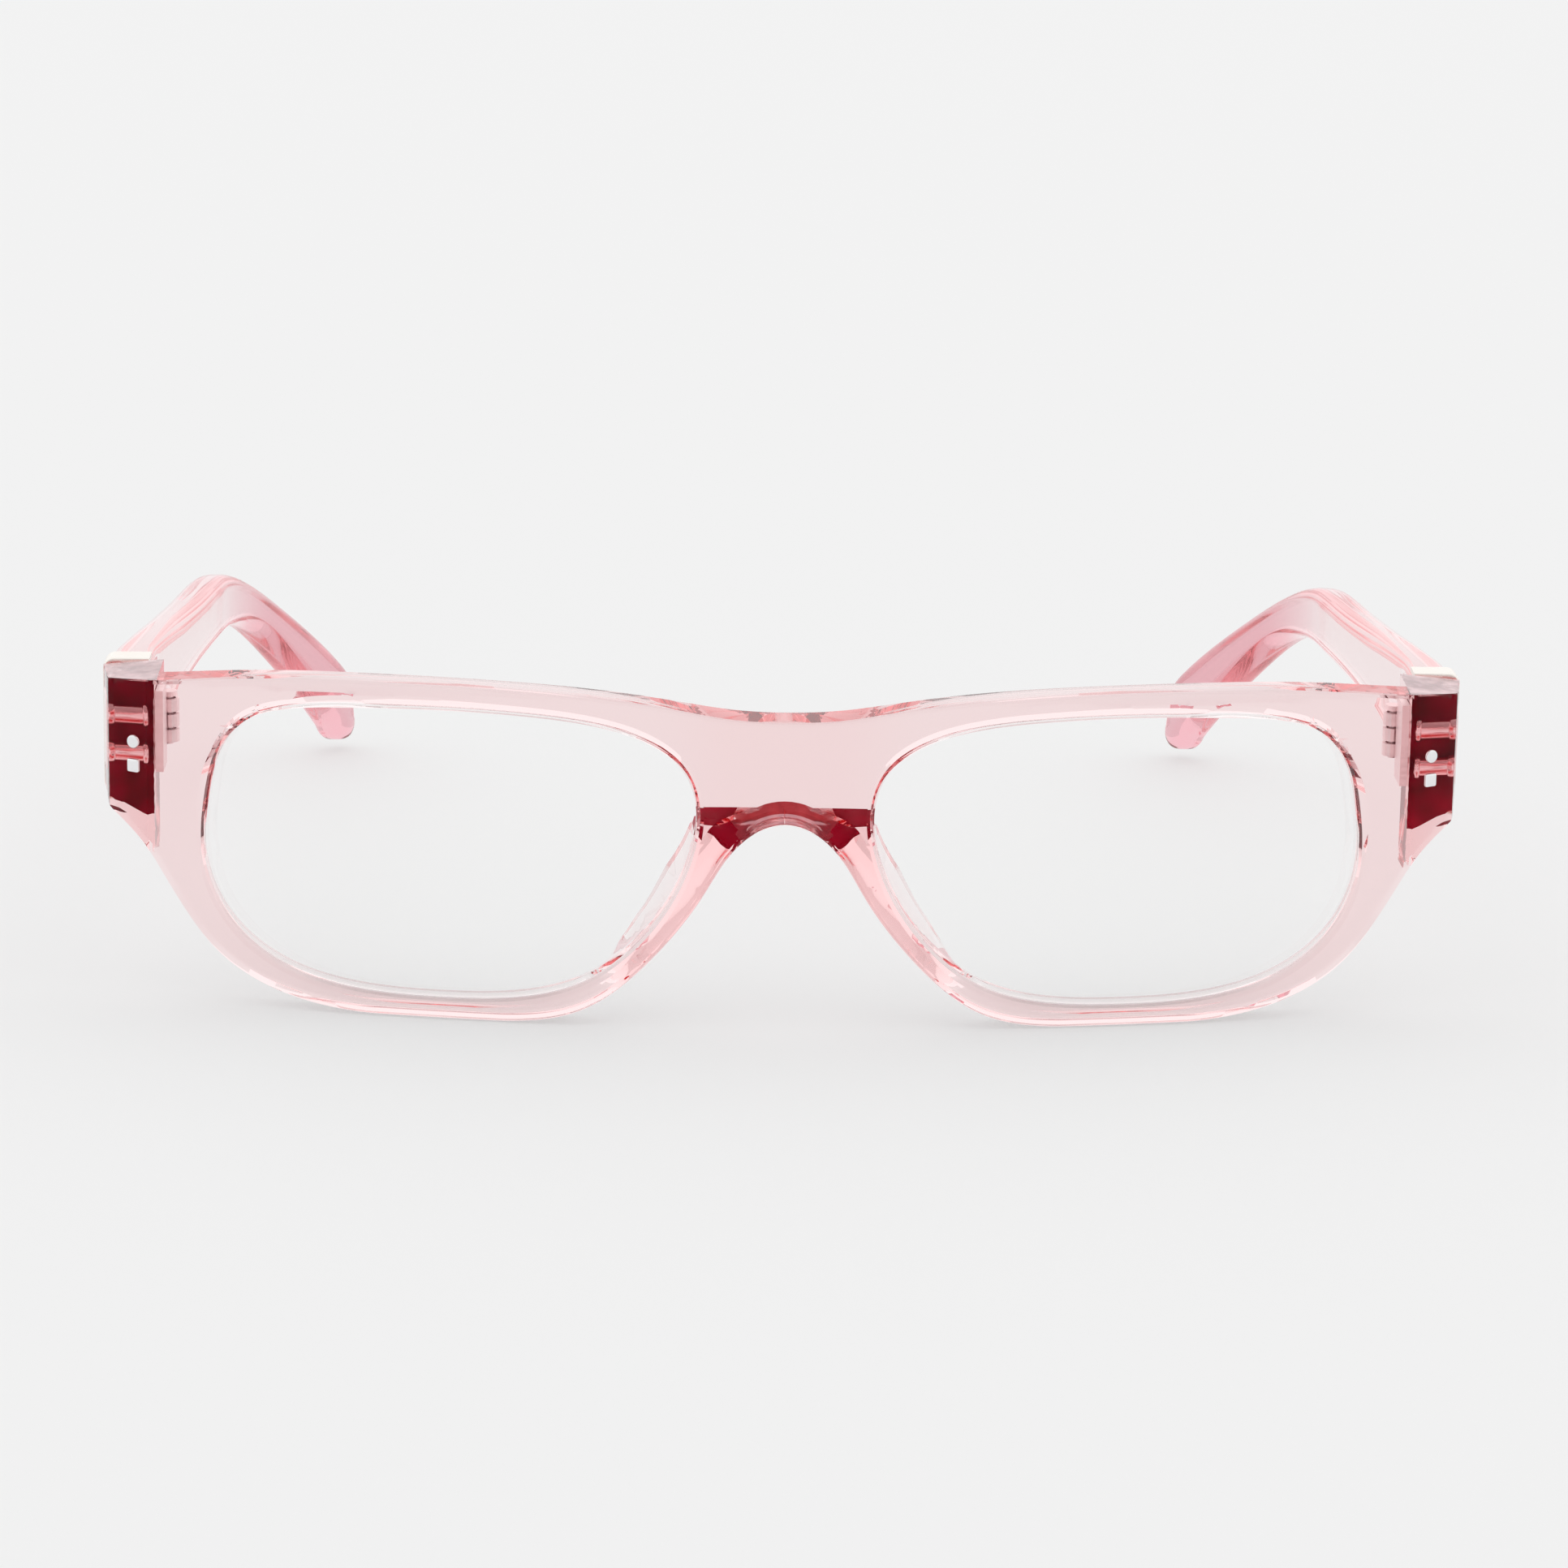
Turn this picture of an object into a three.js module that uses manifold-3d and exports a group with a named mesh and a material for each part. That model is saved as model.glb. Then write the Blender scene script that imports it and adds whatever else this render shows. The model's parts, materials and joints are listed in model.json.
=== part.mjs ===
// Blue light glasses: a clear tinted acetate front, two lenses and two folding temples.
// Millimetres, +Z up. The wearer looks along -Y and the temples run back along +Y.
// The front is drawn upright in its own frame and the whole object is then leaned
// so that it stands on its lower rims and temple tips.
import * as THREE from 'three';
import { mergeVertices } from 'three/addons/utils/BufferGeometryUtils.js';
import Module from 'manifold-3d';

// ---------------------------------------------------------------- driving dimensions
const LEAN = THREE.MathUtils.degToRad(2.0);   // front leans towards the viewer at the top
const GAP = 0.3;                              // clearance kept between touching pieces

const FRONT_RADIUS = 200;                     // horizontal curve of the front
const FRONT_THICKNESS = 4.4;
const BRIDGE_FLAT = 5;                        // half width of the flat at the bridge
const BRIDGE_EXTRA = 1.6;                     // extra depth behind the bridge
const BRIDGE_BLEND = 10;                      // half width over which that depth fades
const FRONT_SEGMENTS = 16;                    // chords along half of the front
const OUTLINE_STEPS = 44;                     // chords round half of the outline
const RIM_FOOT = [30, 44];                    // flat under each rim, between these X

const END_FACET = [67.8, 72.7];               // turned facet at the end piece, in X
const END_FACET_ANGLE = THREE.MathUtils.degToRad(29);
const END_OUTER = 73.7;                       // widest point, at the joint with the temple
const END_INNER = 67.2;                       // inner wall of the end piece
const JOINT_Y = 19.8;                         // rear face of the end piece
const END_TOP = 34.4;                         // top of the end piece and of the temple

const LENS_THICKNESS = 2.0;
const LENS_SETBACK = 1.2;                     // from the front face to the lens
const LENS_OVERLAP = 0.6;                     // lens edge hidden in the groove
const LENS_STEPS = 56;

const TEMPLE_THICKNESS = 4.6;
const TEMPLE_CENTRE = 71.2;                   // middle of the temple at the joint, in X
const TEMPLE_START_Y = JOINT_Y + GAP;
const TEMPLE_BASE = 20.0;                     // underside of the temple at the joint
const TEMPLE_STEPS = 60;
const TEMPLE_BEVEL = 0.7;
const SPLAY_Y = 31;                           // the shank runs straight as far as the hinge leaf
const SPLAY_SLOPE = 0.078;                    // and slopes inwards behind it
const BEND_Y = 82;                            // where the ear bend starts to turn in
const BEND_GAIN = 0.0146;
const BEND_POWER = 1.6;

const CUFF_LENGTH = 3.2;
const CUFF_WALL = 0.6;
const CUFF_PROUD = 0.35;                      // how far the cuff stands off the acetate

const HINGE_AXIS = [66.2, 21.2];              // X and Y of the hinge axis
const HINGE_Z = [24.0, 33.0];                 // foot and top of the front leaf
const TEMPLE_LEAF_Z = [24.0, 31.0];
const BARREL_Z = [26.0, 30.8];                // foot and top of the barrel
const KNUCKLES = 3;                           // two on the front leaf, one on the temple's
const KNUCKLE_RADIUS = 1.1;
const SCREW_RADIUS = 0.45;
const LEAF_THICKNESS = 0.8;
const LEAF_SUNK = 0.25;                       // depth of the front leaf's recess
const FRONT_LEAF_Y = 15.2;
const TEMPLE_LEAF_Y = [23.6, 30.2];
const LEAF_RIVET_Y = 26.9;
const LEAF_RIVET_Z = [25.8, 29.4];
const LEAF_RIVET_RADIUS = 0.8;
const LEAF_RIVET_REACH = 0.8;                 // past the middle of the temple
const LEAF_STANDOFF = 0.55;                   // from the temple's inner side to its leaf
const BARREL_STEPS = 20;

const STUD_X = 69.9;                          // front studs, on the turned facet
const ROUND_STUD_Z = 28.0;
const SQUARE_STUD_Z = 25.35;
const STUD_RADIUS = 0.72;
const STUD_DEPTH = 0.9;
const STUD_PROUD = 0.12;

const PLAQUE_Z = [24.0, 32.4];
const PLAQUE_LENGTH = 4.6;
const PLAQUE_THICKNESS = 0.6;
const PLAQUE_POCKET = 0.5;
const PIN_Y = 17.2;
const PIN_Z = [25.8, 29.9];
const PIN_RADIUS = 1.0;
const PIN_FLANGE = 1.25;
const PIN_FLANGE_HEIGHT = [0.5, 1.0];         // at the hinge leaf and at the plaque
const PIN_SETBACK = 0.3;                      // from the side facet to the end of the pins

// Ends of the blanks and cutters that run past the object.
const HEIGHTS = [-5, 45];
const DEPTHS = [-5, 30];

// Half outline of the front, seen from the viewer's side, as X and Z.
const BROW = [[0, 33.7], [6, 34.0], [12, 35.0], [22, 36.2], [34, 36.7], [46, 36.7], [58, 36.1],
  [67, 35.1], [END_OUTER + 1, END_TOP]];
const OUTER_RIM = [[67.6, 15.2], [65.0, 11.0], [60.4, 5.3], [53.0, 1.4], [RIM_FOOT[1], 0]];
const INNER_RIM = [[RIM_FOOT[0], 0], [21.5, 1.5], [14.6, 6.8], [8.5, 14.7], [4.4, 20.6], [0, 22.5]];
const END_CHAMFER = [END_OUTER + 1, 21.3];    // lower outer corner of the end piece

// Lens opening of the +X side.
const OPENING = [[62.0, 18.0], [61.5, 23.2], [60.1, 28.3], [57.4, 31.5], [53.2, 33.0], [46, 33.7],
  [38, 33.95], [28, 33.7], [20, 32.8], [14.4, 31.0], [10.9, 28.2], [9.5, 24.4], [9.9, 19.6], [12.2, 13.8],
  [16.4, 8.3], [21.2, 4.7], [27.5, 2.75], [36, 2.2], [46, 2.7], [53, 4.6], [58.2, 8.2], [61.1, 12.8]];

// Side view of the temple, as Y and Z: along the top, round the tip and back underneath.
const TEMPLE_SIDE = [[TEMPLE_START_Y, END_TOP], [45, 32.9], [70, 30.9], [86, 29.3], [97, 25.9], [110, 20.0],
  [122, 13.6], [131, 8.0], [135.4, 3.6], [136.4, -1.6], [134, -4.7], [131, -1.6], [124, 4.4],
  [113, 12.0], [103, 17.7], [93, 21.5], [80, 22.9], [60, 23.8], [40, 22.7], [TEMPLE_START_Y, TEMPLE_BASE]];

// Nose pad, seen from the viewer's side on +X, and how it flares towards the nose.
const PAD = [[6.4, 21.3], [9.3, 21.5], [10.3, 18.0], [12.5, 14.4], [15.4, 9.2], [17.8, 5.6], [16.2, 5.2],
  [12.8, 9.0], [9.8, 14.0], [7.6, 18.0]];
const PAD_BACK = 8.8;                         // rear of the pads, behind the bridge's face
const PAD_FLARE = 0.25;                       // outward slope towards the rear
const PAD_ROOT = 4.0;                         // depth at which the pads leave the front
const PAD_ROUND = 0.3;

// ---------------------------------------------------------------- materials
const finish = (color, roughness, metalness, opacity = 1) => new THREE.MeshStandardMaterial({
  color, roughness, metalness, opacity, transparent: opacity < 1 });
const acetate = () => finish(0xf0d9db, 0.08, 0, 0.55);
const clearLens = () => finish(0xf6f8f8, 0.03, 0, 0.2);
const silver = () => finish(0xd9d8d2, 0.18, 1);
const rose = () => finish(0xcf9c9c, 0.2, 1);

// ---------------------------------------------------------------- solids
const manifold = await Module();
manifold.setup();

function solid(geometry) {
  const bare = geometry.clone();
  bare.deleteAttribute('normal');
  bare.deleteAttribute('uv');
  const merged = mergeVertices(bare, 1e-4);
  return new manifold.Manifold(new manifold.Mesh({
    numProp: 3,
    vertProperties: new Float32Array(merged.attributes.position.array),
    triVerts: new Uint32Array(merged.index.array),
  }));
}

function geometryOf(body) {
  const mesh = body.getMesh();
  const geometry = new THREE.BufferGeometry();
  geometry.setAttribute('position', new THREE.BufferAttribute(new Float32Array(mesh.vertProperties), 3));
  geometry.setIndex(new THREE.BufferAttribute(new Uint32Array(mesh.triVerts), 1));
  geometry.computeVertexNormals();
  return geometry;
}

const join = (first, ...others) =>
  geometryOf(others.reduce((body, next) => body.add(solid(next)), solid(first)));
const cut = (first, ...others) =>
  geometryOf(others.reduce((body, next) => body.subtract(solid(next)), solid(first)));
const overlap = (first, second) => geometryOf(solid(first).intersect(solid(second)));

function shapeOf(points) {
  return new THREE.Shape(points.map(([a, b]) => new THREE.Vector2(a, b)));
}

// A front-view shape (X, Z) pushed from y0 back to y1.
function alongY(shape, y0, y1, options = {}) {
  const geometry = new THREE.ExtrudeGeometry(shape, { depth: y1 - y0, bevelEnabled: false, ...options });
  return geometry.rotateX(Math.PI / 2).translate(0, y1, 0);
}

// A plan shape (X, Y) pushed up from z0 to z1.
function alongZ(shape, z0, z1) {
  return new THREE.ExtrudeGeometry(shape, { depth: z1 - z0, bevelEnabled: false }).translate(0, 0, z0);
}

// A side-view shape (Y, Z) pushed out from x0 to x1.
function alongX(shape, x0, x1, options = {}) {
  const geometry = new THREE.ExtrudeGeometry(shape, { depth: x1 - x0, bevelEnabled: false, ...options });
  const turn = new THREE.Matrix4().makeBasis(
    new THREE.Vector3(0, 1, 0), new THREE.Vector3(0, 0, 1), new THREE.Vector3(1, 0, 0));
  return geometry.applyMatrix4(turn).translate(x0, 0, 0);
}

function box([x0, x1], [y0, y1], [z0, z1]) {
  return new THREE.BoxGeometry(x1 - x0, y1 - y0, z1 - z0)
    .translate((x0 + x1) / 2, (y0 + y1) / 2, (z0 + z1) / 2);
}

// A solid of revolution from a profile of radius and height.
function turned(profile) {
  return new THREE.LatheGeometry(profile.map(([r, h]) => new THREE.Vector2(r, h)), BARREL_STEPS);
}

function roundedRectangle(width, height, radius) {
  const [w, h] = [width / 2, height / 2];
  const shape = new THREE.Shape();
  shape.absarc(w - radius, h - radius, radius, 0, Math.PI / 2);
  shape.absarc(-w + radius, h - radius, radius, Math.PI / 2, Math.PI);
  shape.absarc(-w + radius, -h + radius, radius, Math.PI, Math.PI * 1.5);
  shape.absarc(w - radius, -h + radius, radius, Math.PI * 1.5, Math.PI * 2);
  return shape;
}

// The same piece on the other side of the face.
function mirrored(geometry) {
  const copy = geometry.index ? geometry.toNonIndexed() : geometry.clone();
  const { array } = copy.attributes.position;
  for (let corner = 0; corner < array.length; corner += 9) {
    for (let k = 0; k < 3; k += 1) {
      [array[corner + 3 + k], array[corner + 6 + k]] = [array[corner + 6 + k], array[corner + 3 + k]];
    }
  }
  for (let vertex = 0; vertex < array.length; vertex += 3) array[vertex] *= -1;
  copy.deleteAttribute('normal');
  copy.deleteAttribute('uv');
  const merged = mergeVertices(copy, 1e-4);
  merged.computeVertexNormals();
  return merged;
}

// ---------------------------------------------------------------- curves of the front
// Depth of the front face behind the bridge's flat, at a distance x from the middle.
function sag(x) {
  const past = Math.max(0, Math.abs(x) - BRIDGE_FLAT);
  return FRONT_RADIUS - Math.sqrt(FRONT_RADIUS ** 2 - past ** 2);
}

const facetRise = (END_FACET[1] - END_FACET[0]) * Math.tan(END_FACET_ANGLE);
const facetStartY = sag(END_FACET[0]);
const facetEndY = facetStartY + facetRise;

function bothSides(half) {
  return [...half.map(([x, y]) => [-x, y]).reverse(), ...half];
}

// A curved band that follows the front, from one depth behind its face to another.
function band(from, to, halfWidth, z0, z1) {
  const line = (offset) => Array.from({ length: FRONT_SEGMENTS + 1 }, (_, i) => {
    const x = BRIDGE_FLAT + (halfWidth - BRIDGE_FLAT) * (i / FRONT_SEGMENTS);
    return [x, sag(x) + offset];
  });
  return alongZ(shapeOf([...bothSides(line(from)), ...bothSides(line(to)).reverse()]), z0, z1);
}

// Plan of the front with its thicker bridge and its turned end pieces.
function frontPlan() {
  const face = [];
  const back = [];
  for (let i = 0; i <= FRONT_SEGMENTS; i += 1) {
    const x = BRIDGE_FLAT + (END_FACET[0] - BRIDGE_FLAT) * (i / FRONT_SEGMENTS);
    face.push([x, sag(x)]);
    const fade = Math.max(0, 1 - (x - BRIDGE_FLAT) / BRIDGE_BLEND);
    if (x < END_INNER - 1) back.push([x, sag(x) + FRONT_THICKNESS + BRIDGE_EXTRA * fade]);
  }
  face.push([END_FACET[1], facetEndY], [END_OUTER, JOINT_Y]);
  back.push([END_INNER, sag(END_INNER) + FRONT_THICKNESS], [END_INNER, JOINT_Y]);
  return shapeOf([...bothSides(face), ...bothSides(back).reverse()]);
}

function frontOutline() {
  const curve = (points, steps) => new THREE.SplineCurve(points.map(([x, z]) => new THREE.Vector2(x, z)))
    .getPoints(steps).map((p) => [p.x, p.y]);
  const half = [...curve(BROW, OUTLINE_STEPS / 2), END_CHAMFER, ...curve(OUTER_RIM, OUTLINE_STEPS / 4),
    ...curve(INNER_RIM, OUTLINE_STEPS / 2)];
  const other = half.slice(1, -1).map(([x, z]) => [-x, z]).reverse();
  return shapeOf([...half, ...other]);
}

// The lens opening, grown evenly by a margin.
function opening(margin) {
  const curve = new THREE.CatmullRomCurve3(OPENING.map(([x, z]) => new THREE.Vector3(x, z, 0)), true);
  const ring = curve.getPoints(LENS_STEPS).slice(0, -1);
  const middle = new THREE.Box2().setFromPoints(ring).getCenter(new THREE.Vector2());
  const size = new THREE.Box2().setFromPoints(ring).getSize(new THREE.Vector2());
  const grow = [1 + (2 * margin) / size.x, 1 + (2 * margin) / size.y];
  return shapeOf(ring.map((p) =>
    [middle.x + (p.x - middle.x) * grow[0], middle.y + (p.y - middle.y) * grow[1]]));
}

// ---------------------------------------------------------------- pieces of the +X side
// The lens, or with a margin the groove that holds it.
function lens(margin = 0) {
  const from = LENS_SETBACK - margin;
  return overlap(alongY(opening(LENS_OVERLAP + margin), ...DEPTHS),
    band(from, from + LENS_THICKNESS + 2 * margin, END_FACET[0], ...HEIGHTS));
}

function nosePad() {
  const curve = new THREE.CatmullRomCurve3(PAD.map(([x, z]) => new THREE.Vector3(x, z, 0)), true);
  const shape = shapeOf(curve.getPoints(32).slice(0, -1).map((p) => [p.x, p.y]));
  const pad = alongY(shape, 0, PAD_BACK - PAD_ROUND, { bevelEnabled: true, bevelSize: PAD_ROUND,
    bevelThickness: PAD_ROUND, bevelSegments: 2 });
  const place = pad.attributes.position;
  for (let i = 0; i < place.count; i += 1) {
    place.setX(i, place.getX(i) + PAD_FLARE * (place.getY(i) - PAD_ROOT));
  }
  const inFront = box([0, END_FACET[0]], [DEPTHS[0], PAD_ROOT], HEIGHTS);
  return cut(pad, alongZ(frontPlan(), ...HEIGHTS).translate(0, GAP, 0), inFront);
}

function roundStud(radius, from, to) {
  return new THREE.CylinderGeometry(radius, radius, to - from, BARREL_STEPS)
    .translate(0, (from + to) / 2, 0);
}

function squareStud(radius, from, to) {
  return alongY(roundedRectangle(2 * radius, 2 * radius, radius * 0.3), from, to, { curveSegments: 3 });
}

// Turns a stud drawn along Y so that it sits square on the turned facet.
function onFacet(geometry, z) {
  const y = facetStartY + (STUD_X - END_FACET[0]) * Math.tan(END_FACET_ANGLE);
  return geometry.rotateZ(END_FACET_ANGLE).translate(STUD_X, y, z);
}

// The side facet of the end piece, which carries the plaque.
const sideRun = new THREE.Vector2(END_OUTER - END_FACET[1], JOINT_Y - facetEndY);
function onSideFacet(width, height, from, to) {
  const along = sideRun.length() / 2;
  const turn = Math.atan2(sideRun.x, sideRun.y);
  const plate = alongX(roundedRectangle(width, height, 0.9), from, to, { curveSegments: 4 });
  const unit = sideRun.clone().normalize();
  return plate.rotateZ(-turn)
    .translate(END_FACET[1] + unit.x * along, facetEndY + unit.y * along, (PLAQUE_Z[0] + PLAQUE_Z[1]) / 2);
}

const plaqueHeight = PLAQUE_Z[1] - PLAQUE_Z[0];
const plaque = () => onSideFacet(PLAQUE_LENGTH, plaqueHeight, GAP - PLAQUE_POCKET,
  GAP - PLAQUE_POCKET + PLAQUE_THICKNESS);
const plaquePocket = () => onSideFacet(PLAQUE_LENGTH + 2 * GAP, plaqueHeight + 2 * GAP, -PLAQUE_POCKET, 2);

// A flanged pin that holds the plaque to the hinge leaf, through the end piece.
const pinEnds = [END_INNER + LEAF_SUNK, END_FACET[1] - PIN_SETBACK];
function anchorPin(z) {
  const [a, b] = [0, pinEnds[1] - pinEnds[0]];
  const [near, far] = [a + PIN_FLANGE_HEIGHT[0], b - PIN_FLANGE_HEIGHT[1]];
  const profile = [[0, a], [PIN_FLANGE, a], [PIN_FLANGE, near], [PIN_RADIUS, near], [PIN_RADIUS, far],
    [PIN_FLANGE, far], [PIN_FLANGE, b], [0, b]];
  return turned(profile).rotateZ(-Math.PI / 2).translate(pinEnds[0], PIN_Y, z);
}

function crossHole(radius, x0, x1, y, z) {
  return new THREE.CylinderGeometry(radius, radius, x1 - x0, BARREL_STEPS).rotateZ(Math.PI / 2)
    .translate((x0 + x1) / 2, y, z);
}

function knuckle(index) {
  const height = (BARREL_Z[1] - BARREL_Z[0] - (KNUCKLES - 1) * GAP) / KNUCKLES;
  const low = BARREL_Z[0] + index * (height + GAP);
  return [low, low + height];
}

// A leaf with its knuckles, the arms that carry them and a clear bore for the screw.
function leaf(plate, knuckles, armX, armY) {
  const [x, y] = HINGE_AXIS;
  const pieces = knuckles.flatMap((index) => {
    const [low, high] = knuckle(index);
    const barrel = new THREE.CylinderGeometry(KNUCKLE_RADIUS, KNUCKLE_RADIUS, high - low, BARREL_STEPS)
      .rotateX(Math.PI / 2).translate(x, y, (low + high) / 2);
    return [barrel, box(armX, armY, [low, high])];
  });
  const bore = new THREE.CylinderGeometry(SCREW_RADIUS + GAP, SCREW_RADIUS + GAP, 20, BARREL_STEPS)
    .rotateX(Math.PI / 2).translate(x, y, (BARREL_Z[0] + BARREL_Z[1]) / 2);
  return cut(join(plate, ...pieces), bore);
}

function frontLeaf() {
  const outer = END_INNER + LEAF_SUNK - GAP;
  const acrossX = [outer - LEAF_THICKNESS, outer];
  const plate = box(acrossX, [FRONT_LEAF_Y, JOINT_Y - 0.1], HINGE_Z);
  return leaf(plate, [0, 2], acrossX, [JOINT_Y - 1, HINGE_AXIS[1]]);
}

// The recess in the end piece's inner wall that the front leaf lies in.
function leafPocket() {
  return box([END_INNER - 2, END_INNER + LEAF_SUNK], [FRONT_LEAF_Y - GAP, JOINT_Y + 2],
    [HINGE_Z[0] - GAP, HINGE_Z[1] + GAP]);
}

const templeInner = TEMPLE_CENTRE - TEMPLE_THICKNESS / 2;
function templeLeaf() {
  const outer = templeInner - LEAF_STANDOFF;
  const plate = box([outer - LEAF_THICKNESS, outer], TEMPLE_LEAF_Y, TEMPLE_LEAF_Z);
  const armX = [HINGE_AXIS[0] + SCREW_RADIUS + GAP, outer];
  const whole = leaf(plate, [1], armX, [HINGE_AXIS[1] - 0.3, TEMPLE_LEAF_Y[0] + 0.5]);
  const holes = LEAF_RIVET_Z.map((z) =>
    crossHole(LEAF_RIVET_RADIUS + GAP, outer - 3, outer + 3, LEAF_RIVET_Y, z));
  return cut(whole, ...holes);
}

function hingeScrew() {
  const [low, high] = [BARREL_Z[0] - GAP, BARREL_Z[1] + GAP];
  const profile = [[0, low], [SCREW_RADIUS, low], [SCREW_RADIUS, high], [SCREW_RADIUS + 0.5, high],
    [SCREW_RADIUS + 0.4, high + 0.5], [0, high + 0.5]];
  return turned(profile).rotateX(Math.PI / 2).translate(HINGE_AXIS[0], HINGE_AXIS[1], 0);
}

function leafRivet(z) {
  const head = templeInner - LEAF_STANDOFF - LEAF_THICKNESS - GAP;
  const profile = [[0, -0.8], [LEAF_RIVET_RADIUS + 0.2, -0.8], [LEAF_RIVET_RADIUS + 0.5, -0.5],
    [LEAF_RIVET_RADIUS + 0.5, 0], [0, 0]];
  const shank = crossHole(LEAF_RIVET_RADIUS, head - 0.2, TEMPLE_CENTRE + LEAF_RIVET_REACH, LEAF_RIVET_Y, z);
  return join(shank, turned(profile).rotateZ(-Math.PI / 2).translate(head, LEAF_RIVET_Y, z));
}

// How far the temple's middle lies from the centre line, at a depth y.
function templeCentre(y) {
  const bend = Math.max(0, y - BEND_Y);
  return TEMPLE_CENTRE - SPLAY_SLOPE * Math.max(0, y - SPLAY_Y) - BEND_GAIN * bend ** BEND_POWER;
}

function cuffRange() {
  const side = TEMPLE_THICKNESS / 2;
  return {
    x: [TEMPLE_CENTRE - side - 0.1, TEMPLE_CENTRE + side + CUFF_PROUD],
    z: [TEMPLE_BASE - CUFF_PROUD, END_TOP + CUFF_PROUD],
  };
}

function temple() {
  const spline = new THREE.SplineCurve(TEMPLE_SIDE.map(([y, z]) => new THREE.Vector2(y, z)));
  const flat = TEMPLE_THICKNESS - 2 * TEMPLE_BEVEL;
  const points = spline.getPoints(TEMPLE_STEPS).map((p) => [p.x, p.y]);
  const rough = alongX(shapeOf(points), -flat / 2, flat / 2, { bevelEnabled: true, bevelSize: TEMPLE_BEVEL,
    bevelThickness: TEMPLE_BEVEL, bevelOffset: -TEMPLE_BEVEL, bevelSegments: 2 });
  const place = rough.attributes.position;
  for (let i = 0; i < place.count; i += 1) place.setX(i, place.getX(i) + templeCentre(place.getY(i)));
  const range = cuffRange();
  const inner = range.x[1] - CUFF_WALL - GAP;
  const end = [TEMPLE_START_Y - 1, TEMPLE_START_Y + CUFF_LENGTH + GAP];
  const across = [END_INNER - 5, END_OUTER + 5];
  const rebates = [box([inner, across[1]], end, HEIGHTS),
    box(across, end, [range.z[1] - CUFF_WALL - GAP, HEIGHTS[1]]),
    box(across, end, [HEIGHTS[0], range.z[0] + CUFF_WALL + GAP])];
  const holes = LEAF_RIVET_Z.map((z) =>
    crossHole(LEAF_RIVET_RADIUS + GAP, across[0], TEMPLE_CENTRE + LEAF_RIVET_REACH + GAP, LEAF_RIVET_Y, z));
  return cut(rough, ...rebates, ...holes);
}

// A metal cap over the temple's top, outer side and bottom, open towards the hinge.
function cuff() {
  const { x, z } = cuffRange();
  const outer = box(x, [TEMPLE_START_Y, TEMPLE_START_Y + CUFF_LENGTH], z);
  const inside = box([x[0] - 1, x[1] - CUFF_WALL], DEPTHS, [z[0] + CUFF_WALL, z[1] - CUFF_WALL]);
  return cut(outer, inside);
}

// ---------------------------------------------------------------- the front
function frontFrame() {
  const blank = overlap(alongZ(frontPlan(), ...HEIGHTS), alongY(frontOutline(), ...DEPTHS));
  const cuts = [alongY(opening(0), ...DEPTHS), lens(GAP), plaquePocket(), leafPocket(),
    onFacet(roundStud(STUD_RADIUS + GAP, -1, STUD_DEPTH + GAP), ROUND_STUD_Z),
    onFacet(squareStud(STUD_RADIUS + GAP, -1, STUD_DEPTH + GAP), SQUARE_STUD_Z),
    ...PIN_Z.map((z) => crossHole(PIN_FLANGE + GAP, END_INNER - 2, END_OUTER + 2, PIN_Y, z))];
  return cut(blank, ...cuts, ...cuts.map(mirrored));
}

const glasses = new THREE.Group();
glasses.rotation.x = LEAN;

function add(name, geometry, material) {
  const mesh = new THREE.Mesh(geometry, material);
  mesh.name = name;
  glasses.add(mesh);
}

// The left side is the one at -X, seen from the front.
function addPair(name, build, material) {
  const geometry = build();
  add(`right_${name}`, geometry, material());
  add(`left_${name}`, mirrored(geometry), material());
}

add('front_frame', frontFrame(), acetate());
addPair('lens', () => lens(), clearLens);
addPair('nose_pad', nosePad, acetate);
addPair('round_stud', () =>
  onFacet(roundStud(STUD_RADIUS, -STUD_PROUD, STUD_DEPTH), ROUND_STUD_Z), silver);
addPair('square_stud', () =>
  onFacet(squareStud(STUD_RADIUS, -STUD_PROUD, STUD_DEPTH), SQUARE_STUD_Z), silver);
addPair('side_plaque', plaque, rose);
addPair('lower_anchor_pin', () => anchorPin(PIN_Z[0]), silver);
addPair('upper_anchor_pin', () => anchorPin(PIN_Z[1]), silver);
addPair('front_hinge_leaf', frontLeaf, silver);
addPair('hinge_screw', hingeScrew, silver);
addPair('temple', temple, acetate);
addPair('temple_cuff', cuff, silver);
addPair('temple_hinge_leaf', templeLeaf, silver);
addPair('lower_leaf_rivet', () => leafRivet(LEAF_RIVET_Z[0]), silver);
addPair('upper_leaf_rivet', () => leafRivet(LEAF_RIVET_Z[1]), silver);

// Stand the glasses on the floor, with the origin under the middle of their box.
glasses.updateMatrixWorld(true);
const extent = new THREE.Box3().setFromObject(glasses, true);
const middle = extent.getCenter(new THREE.Vector3());
glasses.position.set(-middle.x, -middle.y, -extent.min.z);

export default glasses;
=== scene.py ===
"""Blue light glasses: a clear tinted acetate front, clear lenses and two folding temples."""
import json
import logging
import math
from collections.abc import Sequence
from dataclasses import dataclass, field
from enum import Enum, IntEnum

import bmesh
import bpy
import numpy as np
from mathutils import Matrix, Vector
from mathutils.geometry import delaunay_2d_cdt


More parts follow.
